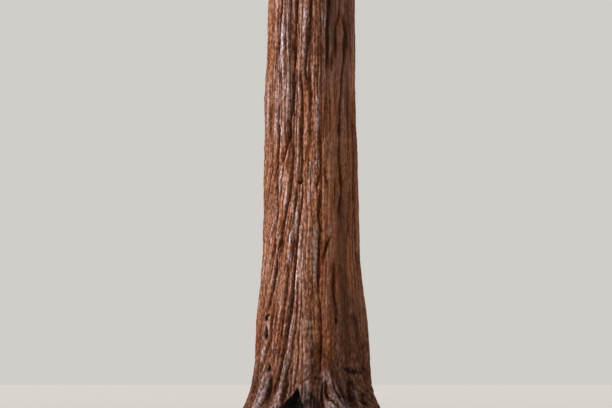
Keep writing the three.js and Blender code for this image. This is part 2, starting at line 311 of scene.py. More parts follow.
# Weathered, silvery grey crests, with painted highlight on them where they face the lamp: the bearing at
# the foot and at the top, their two heights, half width in degrees and strength.
SILVERED_AND_HIGHLIT = (
    (-40, -39, 9.5, 10.7, 4.4, 1.0),
    (-29, -29, 9.7, 11.1, 3.2, 0.9),
    (-58, -59, 10.3, 10.7, 2.0, 0.9),
    (-38, -38, 8.3, 9.8, 2.3, 0.9),
    (-42, -42, 7.7, 8.2, 1.8, 1.0),
    (-41, -39, 6.8, 7.8, 2.0, 0.9),
    (-33, -32, 7.0, 7.7, 1.8, 0.7),
    (-16, -15, 8.2, 9.0, 2.4, 0.8),
    (-17, -16, 6.4, 8.1, 1.5, 0.7),
    (7, 7, 6.4, 7.3, 2.2, 0.6),
    (6, 6, 7.3, 8.5, 2.8, 0.6),
    (-9, -9, 9.6, 10.9, 3.5, 0.55),
    (15, 15, 10.0, 11.0, 3.5, 0.5),
    (-25, -24, 8.0, 9.6, 3.0, 0.6),
    (-33, -31, 7.2, 9.2, 3.0, 0.5),
    (-18, -17, 8.4, 9.6, 2.5, 0.5),
    (-50, -49, 7.2, 9.2, 3.0, 0.35),
    (-33, -32, 4.8, 6.4, 3.0, 0.5),
    (-50, -47, 3.2, 5.2, 3.0, 0.45),
    (-4, -3, 5.4, 6.6, 3.0, 0.35),
    (5, 4, 3.4, 4.8, 3.5, 0.35),
    (-41, -39, 5.7, 6.6, 1.5, 1.0),
    (-19, -17, 4.8, 5.5, 1.8, 1.0),
    (-26, -25, 3.7, 4.8, 2.2, 0.7),
    (-15, -14, 3.6, 4.8, 1.6, 0.5),
    (-20, -16, 2.6, 3.9, 1.9, 0.7),
    (-24, -20, 1.4, 2.7, 2.0, 0.6),
    (-31, -24, 0.6, 1.5, 3.0, 0.7),
    (-56, -50, 0.0, 1.1, 6.0, 0.65),
    (-34, -29, 0.0, 0.9, 5.0, 0.7),
    (19, 14, 0.0, 1.1, 4.5, 0.9),
    (29, 22, 0.0, 0.8, 4.5, 0.8),
    (41, 32, 0.0, 0.8, 3.0, 0.6),
    (50, 44, 0.0, 0.7, 2.5, 0.5),
    (-3, -3, 1.3, 2.6, 2.5, 0.35),
    (61, 62, 3.2, 4.4, 2.5, 0.3),
)
# Streaks where bark has dropped off and its orange inner layers show: bearing, lowest and highest
# height, half width in degrees and strength.
FRESH = (
    (7, 9.3, 12.2, 2.5, 0.9),
    (-16, 9.7, 10.8, 2.0, 0.8),
    (-6, 5.8, 8.9, 4.0, 0.7),
    (-32, 9.0, 9.9, 2.0, 0.6),
    (-21, 5.8, 6.8, 2.5, 0.8),
    (-5, 5.5, 6.4, 3.0, 0.7),
    (-1, 2.66, 3.0, 7.0, 1.0),
    (-60, 2.0, 2.5, 3.0, 0.8),
    (-52, 1.5, 2.0, 4.0, 0.7),
    (-66, 8.4, 10.2, 5.0, 0.8),
    (74, 8.0, 9.4, 5.0, 0.8),
    (-8, 0.95, 1.07, 8.0, 0.8),
    (160, 3.0, 6.5, 5.0, 0.7),
    (-130, 5.0, 9.0, 4.0, 0.7),
)
# Smooth stretches where the ridges are rubbed down, darkened by painted shade: bearing, lowest and highest
# height, half width in degrees and strength.
WORN_AND_SHADED = (
    (30, 9.7, 12.6, 6, 1.0),
    (25, 9.2, 10.8, 4, 0.7),
    (38, 2.6, 5.4, 9, 0.9),
    (41, 1.3, 3.2, 12, 0.55),
    (51, 7.9, 9.6, 5, 0.6),
    (13, 7.4, 9.6, 7, 0.5),
    (9, 0.5, 1.9, 4, 0.6),
    (-5, 8.8, 11.6, 4, 0.5),
    (50, 9.6, 12.4, 12, 0.45),
    (128, 2.0, 6.0, 12, 0.6),
    (-140, 3.0, 8.0, 10, 0.5),
)
# Where the outline swells or is worn back a little: bearing, its spread in degrees, height, its spread,
# and how much deeper the bark lies there.
SIDE_SWELLS = (
    (-90, 16, 8.7, 0.6, -0.035),
    (-88, 16, 1.85, 0.5, 0.05),
    (86, 14, 8.4, 2.2, 0.04),
)


def bark_grain(height, bearing):
    """The bearing that the bark's ridges at each place have higher up. They fan out to the left over
    the left of the photographed face, and sweep out into the foot on its right."""
    left = np.clip(-8 - bearing, 0, 62) * smooth_fall(95, 150, -bearing)
    pull = np.interp(height, (0.3, 1.0, 1.6, 2.4, 3.3, 4.6, 5.7, 7.1),
                     (1.3, 1.26, 1.2, 1.12, 1.02, 0.82, 0.45, 0))
    right = np.clip(bearing - 8, 0, 50) * smooth_fall(95, 150, bearing)
    swept = 0.75 * hump(height, 0, 0.8)
    round_right = within(22, 50, 110, 160, bearing)
    return bearing + 0.62 * left * pull - right * swept - 12 * smooth_step(1.5, 8, height) * round_right


def from_to(low, high, ends, height):
    """1 from one height to another, easing to 0 over the ends."""
    return within(low - ends, low + ends, high - ends, high + ends, height)


def streak(height, bearing, at, low, high, half_width):
    """1 along an upright streak, falling to 0 at its sides and ends."""
    along = from_to(low, high, min(0.3, 0.4 * (high - low)), height)
    return smooth_fall(0.45, 1.3, np.abs(turned_by(bearing, at)) / half_width) * along


def strongest_streak(rows, height, bearing):
    """How strongly the strongest of a list of streaks shows at each place."""
    strongest = np.zeros_like(bearing)
    for at, low, high, half_width, strength in rows:
        strongest = np.maximum(strongest, strength * streak(height, bearing, at, low, high, half_width))
    return strongest


def silvered_and_highlit_crests(height, bearing):
    """How strongly the strongest of the silvered crests shows, as weathering and painted highlight. A crest
    may lean.
    """
    strongest = np.zeros_like(bearing)
    for at_foot, at_top, low, high, half_width, strength in SILVERED_AND_HIGHLIT:
        at = between(at_foot, at_top, np.clip((height - low) / (high - low), 0, 1))
        strongest = np.maximum(strongest, strength * streak(height, bearing, at, low, high, half_width))
    return strongest


def spot_reach(height, bearing, at, middle, half_width, half_height):
    """How far out each place lies in a round spot. At the spot's edge it is 1."""
    return np.hypot(turned_by(bearing, at) / half_width, (height - middle) / half_height)


def cut_face_furrows(depth, crack_shade, height, wound, girth_radius, flake):
    """Cuts the photographed face's furrows into the bark, and paints shade into the cracks in them. Wound
    is the bearing of each place with the small windings of the furrows added."""
    for deep, seen_half_width, line in FACE_FURROWS:
        heights, bearings = zip(*line)
        low, high = heights[0], heights[-1]
        along = from_to(low, high, min(0.25, 0.35 * (high - low)), height)
        waver = 1 + 0.5 * drift(0 * height, height / 0.28, 0 * height + 7.7 * low + deep, 15)
        middle = np.interp(height, heights, bearings)
        half_width = seen_half_width / np.cos(np.radians(middle))
        away = (wound - middle) * math.pi / 180 * girth_radius + 0.014 * flake
        cut = np.exp(-(np.abs(away / (half_width * waver)) ** 3)) * along * (0.7 + 0.3 * waver)
        beside = hump(away, 0, 2.8 * half_width) * along
        depth = depth * (1 - 0.5 * cut) + (cut + 0.15 * beside) * deep
        crack_shade = np.maximum(crack_shade, cut * min(1, 0.5 + 5 * deep))
    return depth, crack_shade


def crack_over_hollow(depth, height, bearing):
    """Opens the crack that runs across under the bulge, with the bark under it standing out."""
    sill = 0.99 + 0.04 * drift(bearing / 3, 0 * height, 0 * height, 24) + 0.0035 * (bearing + 2)
    sill_ends = within(-19, -13, 10, 17, bearing)
    crack = hump(height, sill, 0.035) * sill_ends
    under_sill = within(0, 0.10, 0.25, 0.6, sill - height) * sill_ends
    return depth + 0.028 * crack - 0.02 * under_sill


def burn(depth, height, bearing, ragged, blister, flake):
    """Sinks the holes and the fire hollows into the bark, and chars it there and in the charred spots.
    It gives the new depth, how much is char, and how much is grey ashes with a painted bluish sheen deep in
    the hollows."""
    char = np.zeros_like(depth)
    hollow = np.zeros_like(depth)
    for at, middle, half_width, half_height, deep, black in HOLES:
        reach = spot_reach(height, bearing, at, middle, half_width, half_height) / (1 + 0.3 * ragged)
        depth = depth + deep * smooth_fall(0.35, 1.1, reach)
        char = np.maximum(char, black * smooth_fall(0.6, 1.25, reach))
    for peak, ground, tall, half_width, deep in FIRE_HOLLOWS:
        up = np.clip(height / tall, 0, 1)
        half = half_width * np.minimum(1 - up, LEANING_SHARE) ** 0.9 + 0.01
        off = np.abs(turned_by(bearing, between(ground, peak, up))) / half
        inside = smooth_fall(0.55, 1.0, off - 0.22 * ragged) * (height < tall)
        depth = depth + deep * inside * np.minimum(1, half / 3)
        char = np.maximum(char, smooth_fall(0.8, 1.2, off - 0.15 * ragged) * (height < tall))
        hollow = np.maximum(hollow, inside)
    for at, middle, half_width, half_height, strength in CHARRED:
        near = smooth_fall(0.1, 1.5, spot_reach(height, bearing, at, middle, half_width, half_height))
        burnt = smooth_step(0.25, 0.9, near * (1 + 1.3 * blister) - 0.05)
        char = np.maximum(char, strength * burnt)
        depth = depth + 0.018 * strength * burnt
    depth = depth + hollow * (0.03 * (0.5 - 0.5 * flake) + 0.03 * ragged)
    # Grey ashes deep in the hollows, with a painted bluish sheen.
    ash_and_sheen = hollow * smooth_step(0.15, 0.4, depth) * np.clip(0.55 + 0.9 * blister, 0.1, 1)
    return depth, char, ash_and_sheen


def bark_relief(height, bearing):
    """The bark at each place: how deep it lies under the ridges' crests, and how much of it is furrow with
    its painted shade, pale tone with painted light, flakes with painted highlights, rust, silvering with
    painted highlight, fresh bark, char, grey ashes with a painted sheen, and sootiness with painted shade,
    each from 0 to 1."""
    angle = np.radians(bearing)
    round_x = np.sin(angle)
    round_y = np.cos(angle)

    def uneven(fineness, climb, seed):
        """Unevenness over the stem, the finer the higher its first number."""
        return drift(fineness * round_x, fineness * round_y, climb, seed)

    girth_radius = trunk_radius(height, bearing)
    grain = bark_grain(height, bearing)
    fanned = np.gradient(grain, axis=1) / np.gradient(bearing, axis=1)
    crowding = np.clip(np.log2(girth_radius / (USUAL_RADIUS * np.maximum(fanned, 0.1))), 0, 3)
    sway = 3.0 * uneven(1.6, height / 5.5, 11)
    wiggle = 1.3 * uneven(5, height / 1.3, 12)
    quiver = 0.8 * uneven(13, height / 0.4, 26)
    turns = (grain + fanned * (sway + wiggle + quiver)) / 360

    ridge, ridge_strength, ridge_tone = even_strips(*RIDGES, turns, height, crowding, 21)
    band, band_strength, band_tone = even_strips(*BANDS, turns, height + 0.4, crowding, 27)
    strip, strip_strength, strip_tone = even_strips(*STRIPS, turns, height + 0.7, crowding, 22)
    shred, shred_strength, shred_tone = even_strips(*SHREDS, turns, height, crowding, 23)
    deeper = 0.5 + 0.5 * uneven(2.2, height / 4, 13)
    below_crown = smooth_fall(12, 14, height)
    face = within(-110, -80, 85, 110, bearing) * below_crown
    side_away_from_lamp = within(5, 28, 95, 125, bearing) * smooth_fall(12, 16, height)
    smooth_face = hump(bearing, 8, 24) * smooth_step(0.8, 1.6, height)
    # Painted light on the face turned towards the lamp.
    lit_face = hump(bearing, -25, 13) * below_crown
    # Stretches that are smoother, and darker with painted shade.
    worn_and_shaded = strongest_streak(WORN_AND_SHADED, height, bearing + sway)
    rough = 1 - 0.45 * smooth_face * smooth_fall(5.0, 7.5, height) - 0.5 * worn_and_shaded
    rough = rough + 0.25 * hump(bearing, -55, 30) * smooth_fall(1.2, 2.4, height)

    in_ridge_furrow = smooth_fall(0, 0.42, ridge)
    in_band_furrow = smooth_fall(0, 0.5, band)
    in_strip_furrow = smooth_fall(0, 0.5, strip)
    in_shred_furrow = smooth_fall(0, 0.8, shred)
    depth = in_ridge_furrow * (0.015 + 0.10 * ridge_strength**1.4) * (0.4 + 0.9 * deeper)
    depth = depth + smooth_fall(0, 1.0, ridge) * 0.045
    depth = depth * (1 - 0.6 * face)
    depth = depth + in_band_furrow * (0.004 + 0.060 * band_strength**1.8) * (1 - 0.3 * side_away_from_lamp)
    depth = depth + in_strip_furrow * (0.004 + 0.036 * strip_strength**1.5) * (1 - 0.4 * side_away_from_lamp)
    depth = depth + smooth_fall(0, 1.0, strip) * 0.010
    depth = depth + in_shred_furrow * 0.007 * (0.3 + shred_strength) * (1 - 0.4 * side_away_from_lamp)
    depth = depth + (0.030 * strip_tone + 0.014 * shred_tone) * (1 - 0.5 * side_away_from_lamp)
    depth = depth * rough + 0.025 * worn_and_shaded * side_away_from_lamp
    depth = depth + 0.02 * (0.5 + 0.5 * uneven(7, height / 0.9, 14))
    flake = uneven(22, height / 0.17 + 6 * strip_tone, 18)
    flake = 0.55 * flake + 0.45 * uneven(40, height / 0.09 + 9 * shred_tone, 19)
    # Less flaking, and fewer painted highlights on the flakes, on the side away from the lamp and on the
    # smooth stretches.
    flaky_and_highlit = 1 - 0.55 * side_away_from_lamp * smooth_step(1, 3, height) - 0.3 * worn_and_shaded
    depth = depth + 0.014 * (0.5 - 0.5 * flake) * flaky_and_highlit

    # Painted shade in the narrow cracks of the bands and strips.
    crack_shade = smooth_fall(0, 0.4, band) * band_strength
    crack_shade = np.maximum(crack_shade, smooth_fall(0, 0.35, strip) * (0.2 + 0.7 * strip_strength))
    crack_shade = crack_shade * rough * (1 - 0.3 * side_away_from_lamp)
    wound = bearing + 0.6 * wiggle + 0.6 * quiver
    depth, crack_shade = cut_face_furrows(depth, crack_shade, height, wound, girth_radius, flake)
    depth = crack_over_hollow(depth, height, bearing)
    # The bulge over the crack is wrinkled across.
    on_bulge = hump(bearing, -1, 10) * from_to(1.1, 3.3, 0.3, height)
    wrinkles = uneven(5, height / 0.085 + 0.4 * wiggle, 29)
    depth = depth + 0.022 * on_bulge * (0.5 - 0.5 * wrinkles)
    for at, half_width, middle, half_height, deep in SIDE_SWELLS:
        depth = depth + deep * np.exp(
            -(((height - middle) / half_height) ** 2) - (turned_by(bearing, at) / half_width) ** 2)

    ragged = uneven(14, height / 0.16, 16)
    blister = 0.5 * uneven(9, height / 0.23 + wiggle, 25) + 0.4 * ragged
    blister = blister + 0.7 * uneven(24, height / 0.08 + wiggle, 28) + 0.3 * flake
    depth, char, ash_and_sheen = burn(depth, height, bearing, ragged, blister, flake)

    # Silvered crests: partly weathering, partly painted highlight on crests lit from the left.
    crests = silvered_and_highlit_crests(height, bearing + 0.5 * wiggle)
    depth = depth - 0.02 * crests * (1 - char)
    # Silvering, partly weathering and partly painted highlight: most on the face towards the lamp, almost
    # none on the side away from it.
    patches = uneven(3.4, height / 1.7, 17) + 0.8 * lit_face
    silver_and_highlight = 0.65 * smooth_step(-0.2, 0.6, patches) * (1 - 0.95 * side_away_from_lamp) * (1 - 0.6 * smooth_face)
    silver_and_highlight = silver_and_highlight * (0.5 + 0.5 * ridge_tone) * smooth_step(0.25, 0.7, strip_tone)
    silver_and_highlight = silver_and_highlight * smooth_fall(0.045, 0.085, depth)
    broken = smooth_step(0.1, 0.9, strip_tone + 0.6 * shred_tone + 0.5 * flake)
    broken = broken * smooth_fall(0.05, 0.11, depth)
    broken = broken * (1 - on_bulge * smooth_fall(-0.1, 0.3, wrinkles))
    # Painted highlight high on the left, towards the lamp.
    high_left = hump(bearing, -34, 24) * from_to(7.4, 13, 0.9, height)
    silver_and_highlight = np.maximum(silver_and_highlight, crests * broken) + 0.18 * high_left * smooth_fall(0.06, 0.12, depth)
    silver_and_highlight = np.clip(silver_and_highlight * (1 - 0.8 * crack_shade), 0, 1)
    fresh = strongest_streak(FRESH, height, bearing + 0.5 * wiggle)
    fresh = np.clip(fresh * (0.75 + 0.4 * flake + 0.3 * band_tone), 0, 1)

    # Painted shade: darker towards the foot, on the side away from the lamp, on the low stem and on the
    # smooth stretches. The burnt side, the hollow's surround and the bulge over it are sooty from the
    # fires.
    foot_shade = smooth_fall(0.3, 1.9, height + 0.5 * uneven(4, height / 0.8, 20))
    burnt_side = hump(bearing, 52, 34) * smooth_fall(1.4, 3.6, height)
    by_hollow = hump(bearing, 5, 13) * smooth_fall(0.5, 2.4, height)
    low = smooth_fall(0.8, 5.2, height)
    bulge = hump(bearing, 2, 12) * smooth_fall(2.6, 5.6, height)
    soot_and_shade = 0.62 * foot_shade + 0.5 * burnt_side + 0.6 * by_hollow + 0.38 * side_away_from_lamp + 0.3 * low + 0.75 * worn_and_shaded
    soot_and_shade = np.clip(soot_and_shade + 0.3 * bulge, 0, 1.15)
    soot_and_shade = soot_and_shade * (0.85 - 0.4 * flake) * (1 - 0.3 * crests) * (1 - 0.5 * fresh)

    # How far into a furrow the colour goes: darker furrow bark, with painted shade in the deep furrows and
    # cracks.
    furrow = np.maximum(smooth_step(0.035, 0.16, depth), 0.8 * crack_shade)
    tone = 0.25 * ridge_tone + 0.25 * band_tone + 0.30 * strip_tone + 0.20 * shred_tone
    # The face towards the lamp and the high left crests are made paler as painted light; the bulge's
    # wrinkles vary the tone.
    tone = tone + 0.12 * lit_face + 0.04 * high_left + on_bulge * (0.2 * wrinkles - 0.06)
    rusty = within(-18, 4, 85, 110, bearing) * from_to(1.2, 8.4, 0.7, height)
    return depth, {"furrow": furrow, "tone": tone, "flaky_and_highlit": flaky_and_highlit, "rusty": rusty, "silver_and_highlight": silver_and_highlight,
                   "fresh": fresh, "char": char, "ash_and_sheen": ash_and_sheen, "soot_and_shade": soot_and_shade}


def mesh_from(name, corners, loops, starts):
    """A mesh of corners. Its loops go round one face after another, and each face has its start."""
    mesh = bpy.data.meshes.new(name)
    mesh.vertices.add(len(corners))
    mesh.vertices.foreach_set("co", corners.astype(np.float32).ravel())
    mesh.loops.add(len(loops))
    mesh.loops.foreach_set("vertex_index", loops.astype(np.int32))
    mesh.polygons.add(len(starts))
    mesh.polygons.foreach_set("loop_start", starts.astype(np.int32))
    mesh.update(calc_edges=True)
    mesh.validate()
    return mesh


def tube_faces(tubes, points, sides, first_corner, first_loop):
    """The loops and starts of tubes' faces: squares along all of them, then their feet and their tips."""
    tube = np.arange(tubes)[:, None, None] * points * sides + first_corner
    row = np.arange(points - 1)[None, :, None] * sides
    here = np.arange(sides)[None, None, :]
    beyond = (here + 1) % sides
    squares = np.stack([tube + row + here, tube + row + beyond, tube + row + sides + beyond,
                        tube + row + sides + here], axis=-1).ravel()
    feet = (tube[:, 0] + np.arange(sides)[::-1]).ravel()
    tips = (tube[:, 0] + (points - 1) * sides + np.arange(sides)).ravel()
    starts = np.concatenate([np.arange(len(squares) // 4) * 4, len(squares) + np.arange(2 * tubes) * sides])
    return np.concatenate([squares, feet, tips]), starts + first_loop


def set_up(mesh):
    """Puts a mesh in the scene, as an object of its name."""
    thing = bpy.data.objects.new(mesh.name, mesh)
    bpy.context.scene.collection.objects.link(thing)
    return thing


def bark_mesh(name, skins):
    """A piece of one or more skins of bark. A skin is a grid of places, rings by columns, with a spare
    ring beyond each end that only gives the slope there. Its masks are grids of the same size."""
    corners, loops, starts, spreads, loop_normals = [], [], [], [], []
    masks = {label: [] for label in skins[0]["masks"]}
    corner_count = 0
    loop_count = 0
    for skin in skins:
        place = skin["place"]
        rings = place.shape[0] - 3
        columns = place.shape[1]
        round_step = np.roll(place, -1, axis=1) - np.roll(place, 1, axis=1)
        normal = unit(np.cross(round_step[1:-1], place[2:] - place[:-2])).reshape(-1, 3)
        corners.append(place[1:-1].reshape(-1, 3))
        for label, values in skin["masks"].items():
            masks[label].append(values[1:-1].ravel())

        skin_loops, skin_starts = tube_faces(1, rings + 1, columns, corner_count, loop_count)
        squares = skin_loops[:4 * rings * columns] - corner_count
        loops.append(skin_loops)
        starts.append(skin_starts)
        loop_normals += [normal[squares], np.tile(skin["facing_below"], (columns, 1)),
                         np.tile(skin["facing_above"], (columns, 1))]

        left = np.broadcast_to(np.arange(columns) / columns, (rings, columns))
        under = np.broadcast_to(np.arange(rings)[:, None] / rings, (rings, columns))
        right = left + 1 / columns
        over = under + 1 / rings
        spread = np.stack([np.stack([left, under], -1), np.stack([right, under], -1),
                           np.stack([right, over], -1), np.stack([left, over], -1)], axis=2)
        spread = np.vstack([spread.reshape(-1, 2), np.tile((0.5, 0.002), (2 * columns, 1))])
        strip_low, strip_high = skin["strip"]
        spread[:, 0] = strip_low + (strip_high - strip_low) * spread[:, 0]
        spreads.append(spread)
        corner_count += (rings + 1) * columns
        loop_count += len(skin_loops)
    mesh = mesh_from(name, np.vstack(corners), np.concatenate(loops), np.concatenate(starts))
    layout = mesh.uv_layers.new(name="OFBake")
    layout.data.foreach_set("uv", np.vstack(spreads).astype(np.float32).ravel())
    for label, values in masks.items():
        layer = mesh.attributes.new(label, "FLOAT", "POINT")
        layer.data.foreach_set("value", np.concatenate(values).astype(np.float32))
    mesh.shade_smooth()
    mesh.normals_split_custom_set(np.vstack(loop_normals).tolist())
    return set_up(mesh)


def bark_section(name, low, high, rings, columns, coarser_above):
    """One length of the trunk's bark. Its heights and slopes come from the same relief as those of its
    neighbours, so the lengths meet without a line. Where the next has half as many corners round, the
    corners between them lie on its edges."""
    heights = low + (high - low) / rings * np.arange(-1, rings + 2)
    bearings = -180 + 360 / columns * np.arange(columns)
    height, bearing = np.meshgrid(heights, bearings, indexing="ij")
    kept = np.clip(height, 0, TIP_HEIGHT)
    depth, masks = bark_relief(kept, bearing)
    radius = trunk_radius(kept, bearing)
    radius = np.maximum(radius + CREST_STANDS - np.minimum(depth, 0.4 * radius), 0.02)
    middle_x, middle_y = trunk_middle(kept)
    angle = np.radians(bearing)
    x = middle_x + radius * np.sin(angle)
    y = middle_y - radius * np.cos(angle)
    place = np.stack([x, y, height], axis=-1)
    if coarser_above:
        kept_corners = place[-2, 0::2]
        place[-2, 1::2] = (kept_corners + np.roll(kept_corners, -1, axis=0)) / 2
    return bark_mesh(name, [{"place": place, "masks": masks, "strip": (0, 1),
                             "facing_below": (0, 0, -1), "facing_above": (0, 0, 1)}])


def add_node(tree, kind, **settings):
    node = tree.nodes.new(kind)
    for key, value in settings.items():
        setattr(node, key, value)
    return node


def new_material(name, roughness, gloss=0.5):
    material = bpy.data.materials.new(name)
    material.use_nodes = True
    shader = material.node_tree.nodes["Principled BSDF"]
    shader.inputs["Roughness"].default_value = roughness
    shader.inputs["Specular IOR Level"].default_value = gloss
    return material, material.node_tree, shader


def add_bump(tree, shader, height, strength, distance, invert=False):
    bump = add_node(tree, "ShaderNodeBump", invert=invert)
    bump.inputs["Strength"].default_value = strength
    bump.inputs["Distance"].default_value = distance
    tree.links.new(height, bump.inputs["Height"])
    tree.links.new(bump.outputs["Normal"], shader.inputs["Normal"])


def mask_of(tree, label):
    return add_node(tree, "ShaderNodeAttribute", attribute_name=label).outputs["Fac"]


def blend_colours(tree, share, under, over, kind="MIX"):
    """A node that lays one colour over another. A colour is a link or three numbers."""
    node = add_node(tree, "ShaderNodeMix", data_type="RGBA", blend_type=kind)
    for socket, value in ((node.inputs[0], share), (node.inputs[6], under), (node.inputs[7], over)):
        if isinstance(value, bpy.types.NodeSocket):
            tree.links.new(value, socket)
        elif isinstance(value, (tuple, list)):
            socket.default_value = (*value, 1.0)
        else:
            socket.default_value = value
    return node.outputs[2]


def tinted(tree, share, colour, tint):
    """A colour multiplied by a tint, as far as the share goes."""
    return blend_colours(tree, share, colour, blend_colours(tree, 1.0, colour, tint, "MULTIPLY"))


def fibres(tree, size, detail, stretch):
    """Noise drawn out along the stem, as bark fibres are."""
    coordinates = add_node(tree, "ShaderNodeTexCoord")
    mapping = add_node(tree, "ShaderNodeMapping")
    mapping.inputs["Scale"].default_value = (1, 1, stretch)
    noise = add_node(tree, "ShaderNodeTexNoise", noise_dimensions="3D")
    noise.inputs["Scale"].default_value = 1 / size
    noise.inputs["Detail"].default_value = detail
    noise.inputs["Roughness"].default_value = 0.62
    tree.links.new(coordinates.outputs["Object"], mapping.inputs["Vector"])
    tree.links.new(mapping.outputs["Vector"], noise.inputs["Vector"])
    return noise.outputs["Fac"]


def ramp(tree, factor, *stops):
    node = add_node(tree, "ShaderNodeValToRGB")
    tree.links.new(factor, node.inputs["Fac"])
    while len(node.color_ramp.elements) < len(stops):
        node.color_ramp.elements.new(0.5)
    for element, (position, colour) in zip(node.color_ramp.elements, stops):
        element.position = position
        element.color = (*colour, 1.0)
    return node.outputs["Color"]


def stretched(tree, factor, low, high):
    """A mask that goes from 0 to 1 as the factor goes from low to high."""
    return ramp(tree, factor, (low, (0, 0, 0)), (high, (1, 1, 1)))


# The bark's colours. Where there are several, they run from a crest down into a furrow, darker bark
# with painted shade, or from the dark of a flaking surface to its light.
WARM_BARK = ((0.0, (0.365, 0.196, 0.142)), (0.3, (0.235, 0.098, 0.056)),
             (0.65, (0.160, 0.058, 0.029)), (1.0, (0.112, 0.043, 0.023)))
DULL_BARK = ((0.0, (0.215, 0.102, 0.066)), (0.3, (0.150, 0.058, 0.032)),
             (0.65, (0.112, 0.041, 0.021)), (1.0, (0.082, 0.032, 0.018)))
FRESH_BARK = (0.270, 0.104, 0.046)
# Silvery grey of weathered crests, which also serves as their painted highlight.
SILVERED_AND_HIGHLIT_BARK = (0.445, 0.372, 0.390)
CHAR = (0.011, 0.0085, 0.0075)
# Grey ashes in the fire hollows, with a painted bluish sheen.
ASH_AND_SHEEN = ((0.40, (0.010, 0.009, 0.009)), (0.5, (0.066, 0.070, 0.074)), (0.62, (0.165, 0.178, 0.190)))
# Tints that the bark under them is multiplied by.
OCHRE_TINT = (1.12, 0.92, 0.72)
RUST_TINT = (0.92, 0.80, 0.66)
# Darkens sooty bark, and also paints shade at the foot, on the side away from the lamp and under the limbs.
SOOT_AND_SHADE_TINT = (0.34, 0.33, 0.34)
SHRED_TINTS = ((0.3, (0.82, 0.78, 0.76)), (0.5, (1.0, 1.0, 1.0)), (0.7, (1.14, 1.16, 1.18)))
# The pale lilac top of the flakes' tints is partly painted highlight.
FLAKE_AND_HIGHLIGHT_TINTS = ((0.38, (0.56, 0.49, 0.46)), (0.5, (0.96, 0.92, 0.90)), (0.60, (1.46, 1.63, 1.80)))


def bark_material(name):
    material, tree, shader = new_material(name, roughness=0.95, gloss=0.08)
    furrow = mask_of(tree, "furrow")
    fine = fibres(tree, 0.035, 4.0, 0.16)
    flakes = fibres(tree, 0.055, 2.0, 0.5)
    broad = fibres(tree, 0.5, 3.0, 0.25)
    warm = ramp(tree, furrow, *WARM_BARK)
    dull = ramp(tree, furrow, *DULL_BARK)
    tone = stretched(tree, mask_of(tree, "tone"), 0.34, 0.64)
    colour = blend_colours(tree, tone, dull, warm)
    colour = tinted(tree, stretched(tree, broad, 0.42, 0.68), colour, OCHRE_TINT)
    colour = tinted(tree, mask_of(tree, "rusty"), colour, RUST_TINT)
    colour = blend_colours(tree, mask_of(tree, "fresh"), colour, FRESH_BARK)
    # Silvered crests and their painted highlight.
    colour = blend_colours(tree, mask_of(tree, "silver_and_highlight"), colour, SILVERED_AND_HIGHLIT_BARK)
    colour = blend_colours(tree, 1.0, colour, ramp(tree, fine, *SHRED_TINTS), "MULTIPLY")
    # Flakes, with a painted lilac highlight on their light side.
    highlit_flecks = ramp(tree, flakes, *FLAKE_AND_HIGHLIGHT_TINTS)
    colour = tinted(tree, mask_of(tree, "flaky_and_highlit"), colour, highlit_flecks)
    # Soot, and painted shade.
    colour = tinted(tree, mask_of(tree, "soot_and_shade"), colour, SOOT_AND_SHADE_TINT)
    colour = blend_colours(tree, mask_of(tree, "char"), colour, CHAR)
    # Grey ashes with a painted bluish sheen.
    ash_and_sheen_colour = ramp(tree, flakes, *ASH_AND_SHEEN)
    colour = blend_colours(tree, mask_of(tree, "ash_and_sheen"), colour, ash_and_sheen_colour)
    tree.links.new(colour, shader.inputs["Base Color"])
    add_bump(tree, shader, blend_colours(tree, 0.5, fine, flakes), 0.6, 0.02)
    return material


trunk_bark = bark_material("trunk_bark")
for name, low, high, rings, columns, coarser_above in (
    ("bark_foot", 0.0, 3.6, 180, 512, False),
    ("bark_low_stem", 3.6, 8.1, 190, 512, False),
    ("bark_middle_stem", 8.1, 12.6, 190, 512, True),
    ("bark_crown_stem", 12.6, 24.0, 170, 256, True),
    ("bark_top_stem", 24.0, TIP_HEIGHT, 190, 128, False),
):
    piece = bark_section(name, low, high, rings, columns, coarser_above)
    piece.data.materials.append(trunk_bark)
    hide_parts("trunk")
    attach(piece, "root")

# Boughs: twenty-two limbs climb the trunk by the golden angle, with seven lighter ones above them.
# Each is live wood under thinner, ribbed bark. It grows out of the trunk in a thick collar, dips, and
# turns up into the leaves it carries.
GOLDEN_ANGLE = 137.5
BOUGH_COUNT = 22
BOUGH_ROOTS = (29.6, 57.4)  # the lowest and the highest, in real metres
UPPER_COUNT = 7
UPPER_ENDS = (58.4, 65.6)  # likewise
BOUGH_COLUMNS = 30
BOUGH_RINGS = 64


def seeded_draw(seed):
    """A seeded run of numbers. The model's solids are worked out from the same run, so each limb here
    lies where its solid does."""
    state = seed

    def draw(low=0.0, high=1.0):
        nonlocal state
        state = (state + 0x6D2B79F5) & LAST_BITS
        mixed = ((state ^ (state >> 15)) * (1 | state)) & LAST_BITS
        mixed = ((mixed + (mixed ^ (mixed >> 7)) * (61 | mixed)) ^ mixed) & LAST_BITS
        return low + (high - low) * ((mixed ^ (mixed >> 14)) & LAST_BITS) / 2**32

    return draw


def point_out(bearing, out, height):
    """The point that lies out along a bearing from the trunk's middle."""
    middle_x, middle_y = trunk_middle(height)
    angle = math.radians(bearing)
    return np.array([middle_x + out * math.sin(angle), middle_y - out * math.cos(angle), height])


def round_about(turn, across, over):
    """Directions that lie a turn round from across towards over."""
    return np.cos(turn)[..., None] * across + np.sin(turn)[..., None] * over


def bezier(first, second, third, last, count):
    """Points on many curves at once: one row of places for each set of four control points."""
    share = np.linspace(0, 1, count)[None, :, None]
    rest = 1 - share
    first, second, third, last = (c[:, None, :] for c in (first, second, third, last))
    return rest**3 * first + 3 * rest**2 * share * second + 3 * rest * share**2 * third + share**3 * last


def run_along(path):
    """How far each point of a path lies from its first, along the path."""
    return np.concatenate([[0], np.cumsum(np.linalg.norm(np.diff(path, axis=0), axis=1))])


